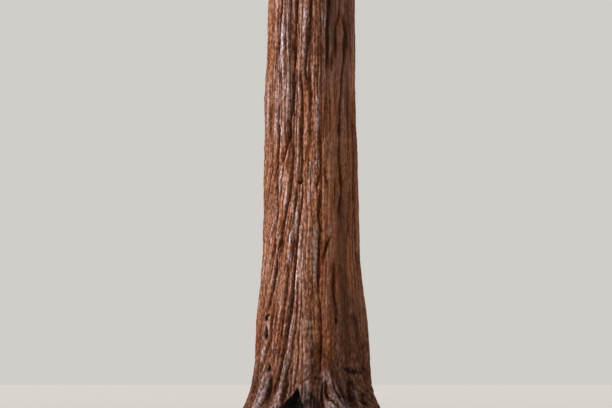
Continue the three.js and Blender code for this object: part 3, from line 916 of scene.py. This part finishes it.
def points_at(path, run, at):
    return np.stack([np.interp(at, run, path[:, axis]) for axis in range(3)], axis=-1)


def curve_through(controls, count):
    """Evenly spaced points on the curve that four control points give."""
    fine = bezier(*(control[None] for control in controls), 200)[0]
    run = run_along(fine)
    return points_at(fine, run, np.linspace(0, run[-1], count))


def trunk_surface(height, bearing):
    """How far the bark lies from the trunk's middle, in real metres, as the limbs are measured."""
    return float(trunk_radius(np.array(height * METRE), np.array(bearing)) / METRE)


def limb_from(bearing, spots, surface, thick, tip_share):
    """A limb on the curve of four spots, each so far out from the trunk's middle and so high."""
    controls = [point_out(bearing, out * METRE, height * METRE) for out, height in spots]
    return {"bearing": bearing, "controls": controls, "surface": surface * METRE,
            "radius": thick * METRE, "tip_share": tip_share}


def bough_limb(index):
    """One of the main limbs. It draws and works out its sizes as its solid does, in real metres."""
    draw = seeded_draw(4100 + 37 * index)
    share = index / (BOUGH_COUNT - 1)
    bearing = GOLDEN_ANGLE * index + draw(-11, 11)
    root_height = between(*BOUGH_ROOTS, share**0.94)
    usual = between(3.3, 3.75, share / 0.35)
    if share >= 0.35:
        usual = between(3.75, 2.95, ((share - 0.35) / 0.65) ** 1.5)
    mass_radius = usual * draw(0.92, 1.1)
    bare = between(1.6, 0.9, share) * draw(0.9, 1.25)
    height = root_height + between(-1.1, 2.2, share) + draw(-0.5, 0.5)
    sag = between(1.1, 0.3, share)
    thick = between(0.56, 0.26, share) * draw(0.86, 1.14)
    surface = trunk_surface(root_height, bearing)
    out = surface + bare + mass_radius
    spots = ((0, root_height), (0.45 * out, root_height - 0.35 * sag), (0.8 * out, height - sag),
             (out, height))
    return limb_from(bearing, spots, surface, thick, 0.42)


def upper_limb(index):
    """One of the lighter limbs over them, inside a mass that closes round the upper trunk."""
    draw = seeded_draw(7300 + 53 * index)
    share = index / (UPPER_COUNT - 1)
    mass_radius = between(3.0, 2.3, share) * draw(0.94, 1.08)
    bearing = GOLDEN_ANGLE * (BOUGH_COUNT + index) + draw(-8, 8)
    height = between(*UPPER_ENDS, share)
    out = between(6.2, 3.9, share**1.2) - mass_radius
    root_height = height - between(2.2, 1.3, share)
    spots = ((0, root_height), (0.5 * out, root_height + 0.1), (0.85 * out, height - 0.9), (out, height))
    return limb_from(bearing, spots, trunk_surface(root_height, bearing), between(0.2, 0.12, share), 0.5)


def limb_skin(limb, seed, strip):
    """The bark of one limb, from inside the trunk's bark to the middle of its leaves."""
    path = curve_through(limb["controls"], 400)
    flat = np.linalg.norm(path[:, :2] - path[0, :2], axis=1)
    first = int(np.searchsorted(flat, 0.7 * limb["surface"]))
    run = run_along(path)
    at = np.linspace(run[first], run[-1], BOUGH_RINGS + 1)
    step = at[1] - at[0]
    at = np.concatenate([[at[0] - step], at, [at[-1] + step]])
    middle = points_at(path, run, at)
    middle[-1] = 2 * middle[-2] - middle[-3]
    heading = unit(np.gradient(middle, axis=0))
    angle = math.radians(limb["bearing"])
    across = np.array([math.cos(angle), math.sin(angle), 0.0])
    over = unit(np.cross(heading, across))

    turn = 2 * math.pi * np.arange(BOUGH_COLUMNS) / BOUGH_COLUMNS
    along, round_turn = np.meshgrid(at, turn, indexing="ij")
    swing = 0.05 * drift(at / 0.7, np.full_like(at, seed), np.zeros_like(at), 31)[:, None] * across
    swing = swing + 0.04 * drift(at / 0.6, np.zeros_like(at), np.full_like(at, seed), 32)[:, None] * over
    middle = middle + swing * smooth_step(run[first] + 0.5, run[first] + 1.5, at)[:, None]

    share = np.clip(along / run[-1], 0, 1)
    radius = limb["radius"] * between(1, limb["tip_share"], share)
    radius = radius * (1 - 0.6 * smooth_step(0.7, 1.0, share))
    collar = np.exp(-np.maximum(0, along - run[first]) / (1.6 * limb["radius"]))
    radius = radius * (1 + 0.55 * collar * (1 - 0.35 * np.sin(round_turn)))
    knots = drift(2.2 * np.cos(round_turn), 2.2 * np.sin(round_turn) + seed, along / 0.55, 33)
    radius = radius * (1 + 0.09 * knots)
    turns = round_turn / (2 * math.pi)
    turns = turns + 0.12 * drift(along / 0.8, np.full_like(along, seed), 0 * along, 34)
    rib, rib_strength, rib_tone = ridge_strips(11, 0.9, turns, along, 40 + seed)
    shred, _, shred_tone = ridge_strips(30, 0.3, turns, along, 90 + seed)
    depth = smooth_fall(0, 0.4, rib) * (0.01 + 0.022 * rib_strength)
    depth = depth + 0.006 * smooth_fall(0, 0.6, shred)
    depth = depth * radius / 0.2
    radius = radius - np.minimum(depth, 0.3 * radius)
    place = middle[:, None, :] + radius[..., None] * round_about(round_turn, across, over[:, None, :])
    # Darker into the ribs' furrows: darker bark with painted shade.
    furrow = smooth_step(0.004, 0.03, depth)
    # Painted light: the top of each limb is paler.
    top_light = smooth_step(0.2, 1.0, np.sin(round_turn)) * smooth_step(0.3, 0.7, shred_tone)
    masks = {"furrow": furrow, "tone": 0.5 * rib_tone + 0.5 * shred_tone, "flaky_and_highlit": 0 * furrow + 0.8,
             "silver_and_highlight": 0.6 * top_light, "fresh": 0 * furrow, "char": 0 * furrow,
             # Painted shade on the underside of each limb.
             "soot_and_shade": 0.3 * smooth_fall(-0.9, 0.0, np.sin(round_turn))}
    return {"place": place, "masks": masks, "strip": strip,
            "facing_below": tuple(-heading[1]), "facing_above": tuple(heading[-2])}


limbs = [bough_limb(index) for index in range(BOUGH_COUNT)]
limbs += [upper_limb(index) for index in range(UPPER_COUNT)]
bough_bark = bark_material("bough_bark")
for name, first, last in (("boughs_low", 0, 8), ("boughs_middle", 8, 15), ("boughs_high", 15, 22),
                          ("boughs_upper", 22, 29)):
    share = 1 / (last - first)
    skins = [limb_skin(limbs[at], at, ((at - first + 0.03) * share, (at - first + 0.97) * share))
             for at in range(first, last)]
    piece = bark_mesh(name, skins)
    piece.data.materials.append(bough_bark)
    solids = [f"bough_{at + 1:02d}" for at in range(first, min(last, BOUGH_COUNT))]
    if solids:
        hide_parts(*solids)
    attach(piece, "root")

# Branches and twigs: a limb forks inside its leaves. One branch bends out and up to the middle of each
# rounded clump, and a fan of twigs leaves it there. Their bark is thin, brown and nearly smooth.
CLUMP_SPACING = 1.06
CLUMP_RADIUS = 0.68
CLUMP_DEPTH = (0.34, 0.85)
CLUMP_TRIES = 900
TRUNK_SIDE = 0.74
TOP_ROOM = 0.85
TOP_SLOPE = 0.75
LIMB_POINTS = 60
FORKS_FROM = 20
CLUMPS_FROM = 24
BRANCH_POINTS = 10
BRANCH_TIP_RADIUS = 0.011
TWIGS_PER_CLUMP = 20
TWIG_RADII = np.array([0.013, 0.0115, 0.0095, 0.0075, 0.0055, 0.004])


def solid_depth(tree, point):
    """How deep a point lies inside a closed solid. Outside it, the answer is below zero."""
    spot, normal, _, away = tree.find_nearest(point)
    return away if (Vector(point) - spot).dot(normal) < 0 else -away


def clump_middles(solid, limb_end, bearing, spacing, rng):
    """Middles for the rounded clumps of one mass, evenly spread under its skin, on every side but the
    one that faces the trunk. Under the very top they lie deeper, so the crown ends in a point."""
    corners = [corner.co for corner in solid.data.vertices]
    tree = BVHTree.FromPolygons(corners, [face.vertices for face in solid.data.polygons])
    corners = np.array(corners)
    tries = rng.uniform(corners.min(axis=0), corners.max(axis=0), (CLUMP_TRIES, 3))
    angle = math.radians(bearing)
    outward = np.array([math.sin(angle), -math.cos(angle), 0.0])
    kept = []
    for point in tries:
        depth = solid_depth(tree, point)
        if not CLUMP_DEPTH[0] < depth < CLUMP_DEPTH[1]:
            continue
        off_axis = np.hypot(point[0] - tip_x, point[1] - tip_y)
        if point[2] > cad_high[2] - TOP_ROOM - TOP_SLOPE * off_axis:
            continue
        lean = point - limb_end
        if lean @ outward < -TRUNK_SIDE * np.linalg.norm(lean):
            continue
        kept.append(point)
    kept = np.array(kept)
    chosen = [kept[np.argmax(kept @ outward)]]
    away = np.linalg.norm(kept - chosen[0], axis=1)
    while away.max() > spacing:
        chosen.append(kept[np.argmax(away)])
        away = np.minimum(away, np.linalg.norm(kept - chosen[-1], axis=1))
    return np.array(chosen)


def tubes_mesh(name, paths, radii, sides, material):
    """A piece of many tapering tubes. Their paths and radii are grids, tubes by points."""
    heading = unit(np.gradient(paths, axis=1))
    spine = unit(paths[:, -1] - paths[:, 0])
    level = np.where(np.abs(spine[:, 2:]) > 0.8, [[1.0, 0.0, 0.0]], [[0.0, 0.0, 1.0]])
    across = unit(np.cross(heading, level[:, None, :]))
    over = np.cross(heading, across)
    turn = 2 * math.pi * np.arange(sides) / sides
    ring = round_about(turn, across[:, :, None, :], over[:, :, None, :])
    place = paths[:, :, None, :] + radii[:, :, None, None] * ring
    mesh = mesh_from(name, place.reshape(-1, 3), *tube_faces(*paths.shape[:2], sides, 0, 0))
    mesh.shade_smooth()
    mesh.materials.append(material)
    return set_up(mesh)


def twig_material(name):
    material, tree, shader = new_material(name, roughness=0.85, gloss=0.3)
    flakes = fibres(tree, 0.06, 4.0, 0.6)
    colour = ramp(tree, flakes, (0.32, (0.045, 0.022, 0.013)), (0.5, (0.105, 0.052, 0.028)),
                  (0.68, (0.185, 0.115, 0.072)))
    tree.links.new(colour, shader.inputs["Base Color"])
    add_bump(tree, shader, flakes, 0.5, 0.01)
    return material


mass_names = [f"foliage_{at + 1:02d}" for at in range(BOUGH_COUNT)]
mass_names += [f"foliage_upper_{at + 1}" for at in range(UPPER_COUNT)]
mass_names += ["foliage_top"]
tip_x, tip_y = trunk_middle(TIP_HEIGHT)
limbs.append({
    "bearing": 20.0, "radius": 0.15, "tip_share": 0.3, "surface": 0.0,
    "controls": [point_out(0, 0, TIP_HEIGHT - below) for below in (3.6, 2.7, 1.8, 0.9)],
})

# Three more clumps close the very top.
LEADER_MIDDLES = [(tip_x, tip_y, TIP_HEIGHT - 0.52), (tip_x + 0.3, tip_y - 0.2, TIP_HEIGHT - 1.05),
                  (tip_x - 0.34, tip_y + 0.12, TIP_HEIGHT - 1.0)]
LEADER_RADII = [0.40, 0.5, 0.5]
# Evenly spread directions, for a clump's fan of twigs.
ball_turn = math.pi * (3 - math.sqrt(5)) * np.arange(TWIGS_PER_CLUMP)
ball_level = 1 - (2 * np.arange(TWIGS_PER_CLUMP) + 1) / TWIGS_PER_CLUMP
ball = np.stack([np.sqrt(1 - ball_level**2) * np.cos(ball_turn),
                 np.sqrt(1 - ball_level**2) * np.sin(ball_turn), ball_level], axis=-1)

branches = {"paths": [], "radii": []}
twigs = {"paths": [], "radii": [], "mass": [], "clump": [], "middle": [], "reach": [], "outward": []}
clump_count = 0
for at, (mass_name, limb) in enumerate(zip(mass_names, limbs)):
    rng = np.random.default_rng(500 + at)
    limb_path = curve_through(limb["controls"], LIMB_POINTS)
    limb_end = limb_path[-1]
    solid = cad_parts[mass_name]
    middles = clump_middles(solid, limb_end, limb["bearing"], CLUMP_SPACING, rng)
    sizes = CLUMP_RADIUS * rng.uniform(0.86, 1.16, len(middles))
    if mass_name == "foliage_top":
        middles = np.vstack([middles, LEADER_MIDDLES])
        sizes = np.append(sizes, LEADER_RADII)
    limb_heading = unit(np.gradient(limb_path, axis=0))
    for middle, radius in zip(middles, sizes):
        away = np.linalg.norm(limb_path[CLUMPS_FROM:] - middle, axis=1)
        near = CLUMPS_FROM + int(np.argmin(away))
        leave = max(FORKS_FROM, near - int(rng.integers(3, 12)))
        root = limb_path[leave]
        span = np.linalg.norm(middle - root)
        outward = unit(unit(middle - limb_end) + np.array([0, 0, 0.55]))
        lean = limb_heading[leave] + 0.4 * unit(middle - root) + rng.normal(0, 0.12, 3)
        branches["paths"].append(bezier(
            root[None], (root + 0.38 * span * unit(lean))[None],
            (middle - 0.32 * span * outward + rng.normal(0, 0.05, 3))[None],
            (middle + 0.16 * outward)[None], BRANCH_POINTS)[0])
        limb_thick = limb["radius"] * between(1, limb["tip_share"], leave / (LIMB_POINTS - 1))
        thick = min(0.45 * limb_thick, 0.03 + 0.028 * span)
        branches["radii"].append(thick * np.linspace(1, 0, BRANCH_POINTS) ** 0.8 + BRANCH_TIP_RADIUS)

        spin = rng.uniform(0, 2 * math.pi)
        turned_x = ball[:, 0] * math.cos(spin) - ball[:, 1] * math.sin(spin)
        turned_y = ball[:, 0] * math.sin(spin) + ball[:, 1] * math.cos(spin)
        turned = np.stack([turned_x, turned_y, ball[:, 2]], axis=-1)
        turned = unit(turned + rng.normal(0, 0.12, turned.shape))
        facing = turned @ outward
        turned = turned[(facing > -0.42) & (turned[:, 2] > -0.72)]
        count = len(turned)
        start = branches["paths"][-1][rng.integers(BRANCH_POINTS // 2, BRANCH_POINTS, count)]
        reach = radius * rng.uniform(0.74, 1.02, count)
        end = middle + turned * reach[:, None] * np.array([1, 1, 0.86])
        bend = 0.45 * reach[:, None]
        twigs["paths"].append(bezier(
            start, start + bend * unit(turned + 0.7 * outward + rng.normal(0, 0.25, turned.shape)),
            end - bend * unit(turned + np.array([0, 0, 0.75])), end, len(TWIG_RADII)))
        twigs["radii"].append(np.tile(TWIG_RADII, (count, 1)))
        twigs["mass"].append(np.full(count, at))
        twigs["clump"].append(np.full(count, clump_count))
        twigs["middle"].append(np.tile(middle, (count, 1)))
        twigs["reach"].append(np.full(count, radius))
        twigs["outward"].append(np.tile(outward, (count, 1)))
        clump_count += 1
twigs = {key: np.concatenate(values) for key, values in twigs.items()}
branches = {key: np.array(values) for key, values in branches.items()}

twig_bark = twig_material("twig_bark")
for name, grown, sides in (("branches", branches, 7), ("twigs", twigs, 3)):
    piece = tubes_mesh(name, grown["paths"], grown["radii"], sides, twig_bark)
    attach(piece, "root")

# Foliage: cord-like shoots clothed in small pointed scales, in tufted sprays that turn up to the
# light along every twig. New growth is the palest and old growth nearly black-green, and the sprays are
# also painted lighter on the outside and top of a clump and darker inside and underneath, as painted
# light and shade. A few sprays have died to rust before they drop.
SPRAYS_PER_TWIG = 10
SHOOTS_PER_SPRAY = 10
OUTLINE_ROOM = np.array([0.22, 0.22, 0.0])
SHOOT_LENGTH = 0.25
SHOOT_WIDTH = 0.036
SPRAY_LENGTH = 0.27
SPRAY_REACH = 0.45
CLUMPS_AT_MOST = 4000
LEAF_COLOURS = (
    ("leaf_shade", (0.038, 0.066, 0.024)),
    ("leaf_deep", (0.070, 0.118, 0.042)),
    ("leaf_blue_green", (0.108, 0.178, 0.082)),
    ("leaf_green", (0.165, 0.240, 0.072)),
    ("leaf_fresh_and_lit", (0.250, 0.320, 0.090)),
    ("leaf_bright", (0.345, 0.395, 0.110)),
    ("leaf_rust", (0.300, 0.135, 0.052)),
)
SHADE_STEPS = (0.20, 0.38, 0.54, 0.68, 0.82)
RUST_SHARE = 0.012


def leaf_sprays(twigs, chosen, rng):
    """The sprays along the chosen twigs: where each begins, which way it grows, and how light it is, with
    painted light on the outer and upper sprays and painted shade on the inner and lower ones. Those that
    would reach outside the crown are left out."""
    paths = twigs["paths"][chosen]
    count = len(chosen)
    share = np.sort(rng.uniform(0.3, 1.0, (count, SPRAYS_PER_TWIG)), axis=1)
    share[:, -1] = 1.0
    spot = share * (paths.shape[1] - 1)
    low = np.minimum(spot.astype(int), paths.shape[1] - 2)
    part = (spot - low)[..., None]
    rows = np.arange(count)[:, None]
    base = paths[rows, low] * (1 - part) + paths[rows, low + 1] * part
    along = unit(paths[rows, low + 1] - paths[rows, low])
    middle = twigs["middle"][chosen][:, None, :]
    reach = twigs["reach"][chosen][:, None]
    outward = unit(base - middle)
    loose = unit(rng.normal(0, 1, base.shape))
    around = unit(loose - (loose * along).sum(-1, keepdims=True) * along)
    tip_pull = (share**3)[..., None]
    axis = unit(0.75 * outward + (0.35 + 0.7 * tip_pull) * along + (0.85 - 0.5 * tip_pull) * around
                + np.array([0, 0, 0.42]))
    far = np.linalg.norm(base - middle, axis=-1) / reach
    lift = (base[..., 2] - middle[..., 2]) / reach
    face = (outward * twigs["outward"][chosen][:, None, :]).sum(-1)
    # Painted light and shade: outer, upper and outward-facing sprays lighter, inner and lower ones darker.
    shade = 0.34 * far + 0.26 * lift + 0.16 * face + 0.2 * axis[..., 2] + rng.normal(0, 0.13, far.shape)
    clump_tone = rng.normal(0, 1, CLUMPS_AT_MOST)[twigs["clump"][chosen]][:, None]
    shade = shade + 0.05 * clump_tone
    tips = base + SPRAY_REACH * axis
    inside = (tips > np.array(cad_low) - OUTLINE_ROOM) & (tips < np.array(cad_high) + OUTLINE_ROOM)
    kept = np.all(inside, axis=-1).reshape(-1)
    return base.reshape(-1, 3)[kept], axis.reshape(-1, 3)[kept], shade.reshape(-1)[kept]


def shoot_corners(base, axis, rng):
    """Four corners for each shoot of each spray. A shoot is a kite, folded a little along its middle."""
    sprays = len(base)
    order = np.arange(SHOOTS_PER_SPRAY)
    place = np.concatenate([np.linspace(0.08, 0.86, SHOOTS_PER_SPRAY - 1), [0.55]])
    open_angle = np.radians(np.concatenate([np.linspace(54, 26, SHOOTS_PER_SPRAY - 1), [0]]))
    length = SHOOT_LENGTH * np.concatenate([np.linspace(1.0, 0.66, SHOOTS_PER_SPRAY - 1), [1.0]])
    side = unit(np.cross(axis, unit(rng.normal(0, 1, axis.shape))))
    over = np.cross(axis, side)
    turn = math.radians(GOLDEN_ANGLE) * order + rng.uniform(0, 2 * math.pi, (sprays, 1))
    spray_length = SPRAY_LENGTH * rng.uniform(0.75, 1.25, (sprays, 1))
    angle = open_angle * rng.uniform(0.75, 1.2, (sprays, SHOOTS_PER_SPRAY))
    around = round_about(turn, side[:, None], over[:, None])
    heading = unit(round_about(angle, axis[:, None], around) + np.array([0, 0, 0.22]))
    foot = base[:, None] + axis[:, None] * (spray_length * place)[..., None]
    long = (length * rng.uniform(0.8, 1.2, (sprays, SHOOTS_PER_SPRAY)))[..., None]
    wide = (SHOOT_WIDTH * rng.uniform(0.85, 1.2, (sprays, SHOOTS_PER_SPRAY)))[..., None]
    flat = unit(np.cross(heading, unit(rng.normal(0, 1, heading.shape))))
    crease = np.cross(heading, flat)
    belly = foot + 0.36 * long * heading
    left = belly + 0.5 * wide * flat + 0.22 * wide * crease
    right = belly - 0.5 * wide * flat + 0.22 * wide * crease
    tip = foot + long * heading
    return np.stack([foot, right, tip, left], axis=2).reshape(-1, 4, 3)


leaf_materials = []
for leaf_name, leaf_colour in LEAF_COLOURS:
    leaf, _, leaf_shader = new_material(leaf_name, roughness=0.62, gloss=0.35)
    leaf_shader.inputs["Base Color"].default_value = (*leaf_colour, 1.0)
    leaf_materials.append(leaf)

for name, first, last in (("foliage_lowest", 0, 6), ("foliage_low", 6, 10), ("foliage_middle", 10, 14),
                          ("foliage_high", 14, 20), ("foliage_crest", 20, 30)):
    rng = np.random.default_rng(70 + first)
    chosen = np.flatnonzero((twigs["mass"] >= first) & (twigs["mass"] < last))
    base, axis, shade = leaf_sprays(twigs, chosen, rng)
    corners = shoot_corners(base, axis, rng)
    kites = np.arange(len(corners))[:, None] * 4
    faces = np.concatenate([kites + [[0, 1, 2]], kites + [[0, 2, 3]]], axis=1).reshape(-1, 3)
    colour_of_spray = np.digitize(shade, SHADE_STEPS)
    colour_of_spray[rng.uniform(0, 1, len(shade)) < RUST_SHARE] = len(LEAF_COLOURS) - 1
    colour_of_face = np.repeat(colour_of_spray, 2 * SHOOTS_PER_SPRAY)
    mesh = mesh_from(name, corners.reshape(-1, 3), faces.ravel(), np.arange(len(faces)) * 3)
    for leaf in leaf_materials:
        mesh.materials.append(leaf)
    mesh.polygons.foreach_set("material_index", colour_of_face.astype(np.int32))
    piece = set_up(mesh)
    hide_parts(*mass_names[first:last])
    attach(piece, "root")

# Cones: woody, egg-shaped and the length of a thumb, with flat diamond scales. They hang in pairs near
# the twigs' ends, and stay closed and green-brown for years.
CONE_PAIRS = 450
CONE_LENGTH = 0.072
CONE_WIDTH = 0.05
CONE_SIDES = 6
CONE_PROFILE = np.array([0.25, 0.82, 1.0, 0.94, 0.68, 0.2])


def cone_material(name):
    material, tree, shader = new_material(name, roughness=0.7)
    coordinates = add_node(tree, "ShaderNodeTexCoord")
    scales = add_node(tree, "ShaderNodeTexVoronoi")
    scales.inputs["Scale"].default_value = 75
    tree.links.new(coordinates.outputs["Object"], scales.inputs["Vector"])
    colour = ramp(tree, scales.outputs["Distance"], (0.1, (0.150, 0.105, 0.045)),
                  (0.45, (0.095, 0.062, 0.028)), (0.8, (0.030, 0.018, 0.010)))
    tree.links.new(colour, shader.inputs["Base Color"])
    add_bump(tree, shader, scales.outputs["Distance"], 0.8, 0.006, invert=True)
    return material


rng = np.random.default_rng(88)
bearers = rng.choice(len(twigs["mass"]), CONE_PAIRS, replace=False)
hung_from = np.repeat(twigs["paths"][bearers, -2], 2, axis=0)
hung_from = hung_from + rng.normal(0, 0.03, hung_from.shape)
drop = unit(np.array([0, 0, -0.6]) + rng.normal(0, 0.5, hung_from.shape))
size = rng.uniform(0.8, 1.15, (2 * CONE_PAIRS, 1))
down_cone = np.linspace(0, 1, len(CONE_PROFILE))[None, :, None]
paths = hung_from[:, None] + down_cone * (CONE_LENGTH * size * drop)[:, None]
girth = CONE_PROFILE * CONE_WIDTH / 2
piece = tubes_mesh("cones", paths, size * girth, CONE_SIDES, cone_material("cone_scales"))
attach(piece, "root")

# Studio: a plain pale floor and backdrop light, with one broad soft lamp low on the left, as the
# light falls on the stem in the photograph.
FLOOR_REACH = 400
FLOOR_COLOUR = (0.62, 0.61, 0.59, 1)
SKY_COLOUR = (0.86, 0.83, 0.79, 1)
SKY_STRENGTH = 0.74
LAMP_COLOUR = (1.0, 0.95, 0.88)
LAMP_STRENGTH = 3.6
LAMP_SPREAD = 14
LAMP_BEARING = math.radians(-70)
LAMP_RISE = math.radians(24)
floor_mesh = bpy.data.meshes.new("floor")
floor_corners = [(x, y, 0) for x, y in ((-FLOOR_REACH, -FLOOR_REACH), (FLOOR_REACH, -FLOOR_REACH),
                                        (FLOOR_REACH, FLOOR_REACH), (-FLOOR_REACH, FLOOR_REACH))]
floor_mesh.from_pydata(floor_corners, [], [(0, 1, 2, 3)])
floor_paint, _, floor_shader = new_material("floor_paint", roughness=0.9)
floor_shader.inputs["Base Color"].default_value = FLOOR_COLOUR
floor_mesh.materials.append(floor_paint)
set_up(floor_mesh)

world = bpy.data.worlds.new("studio")
world.use_nodes = True
world.node_tree.nodes["Background"].inputs["Color"].default_value = SKY_COLOUR
world.node_tree.nodes["Background"].inputs["Strength"].default_value = SKY_STRENGTH
bpy.context.scene.world = world

key = bpy.data.lights.new("key", "SUN")
key.energy = LAMP_STRENGTH
key.angle = math.radians(LAMP_SPREAD)
key.color = LAMP_COLOUR
key_lamp = bpy.data.objects.new("key", key)
towards_lamp = Vector((math.sin(LAMP_BEARING), -math.cos(LAMP_BEARING), math.tan(LAMP_RISE)))
key_lamp.rotation_euler = towards_lamp.to_track_quat("Z", "Y").to_euler()
bpy.context.scene.collection.objects.link(key_lamp)

# Camera: at eye height in front of the trunk, with the distance and tilt that the photograph's
# converging verticals give.
EYE_HEIGHT = 1.6 * METRE
EYE_DISTANCE = 40 * METRE
EYE_TILT = 11.9
TRUNK_OFF_CENTRE = 0.145
LENS = 50
LENS_FRAME = 36
SIGHT_LIMIT = 2000
camera_data = bpy.data.cameras.new("camera")
camera_data.lens = LENS
camera_data.sensor_width = LENS_FRAME
camera_data.clip_end = SIGHT_LIMIT
camera = bpy.data.objects.new("camera", camera_data)
camera.location = (-TRUNK_OFF_CENTRE, -EYE_DISTANCE, EYE_HEIGHT)
camera.rotation_euler = (math.radians(90 + EYE_TILT), 0, 0)
bpy.context.scene.collection.objects.link(camera)
bpy.context.scene.camera = camera
bpy.context.scene.view_settings.view_transform = "Standard"
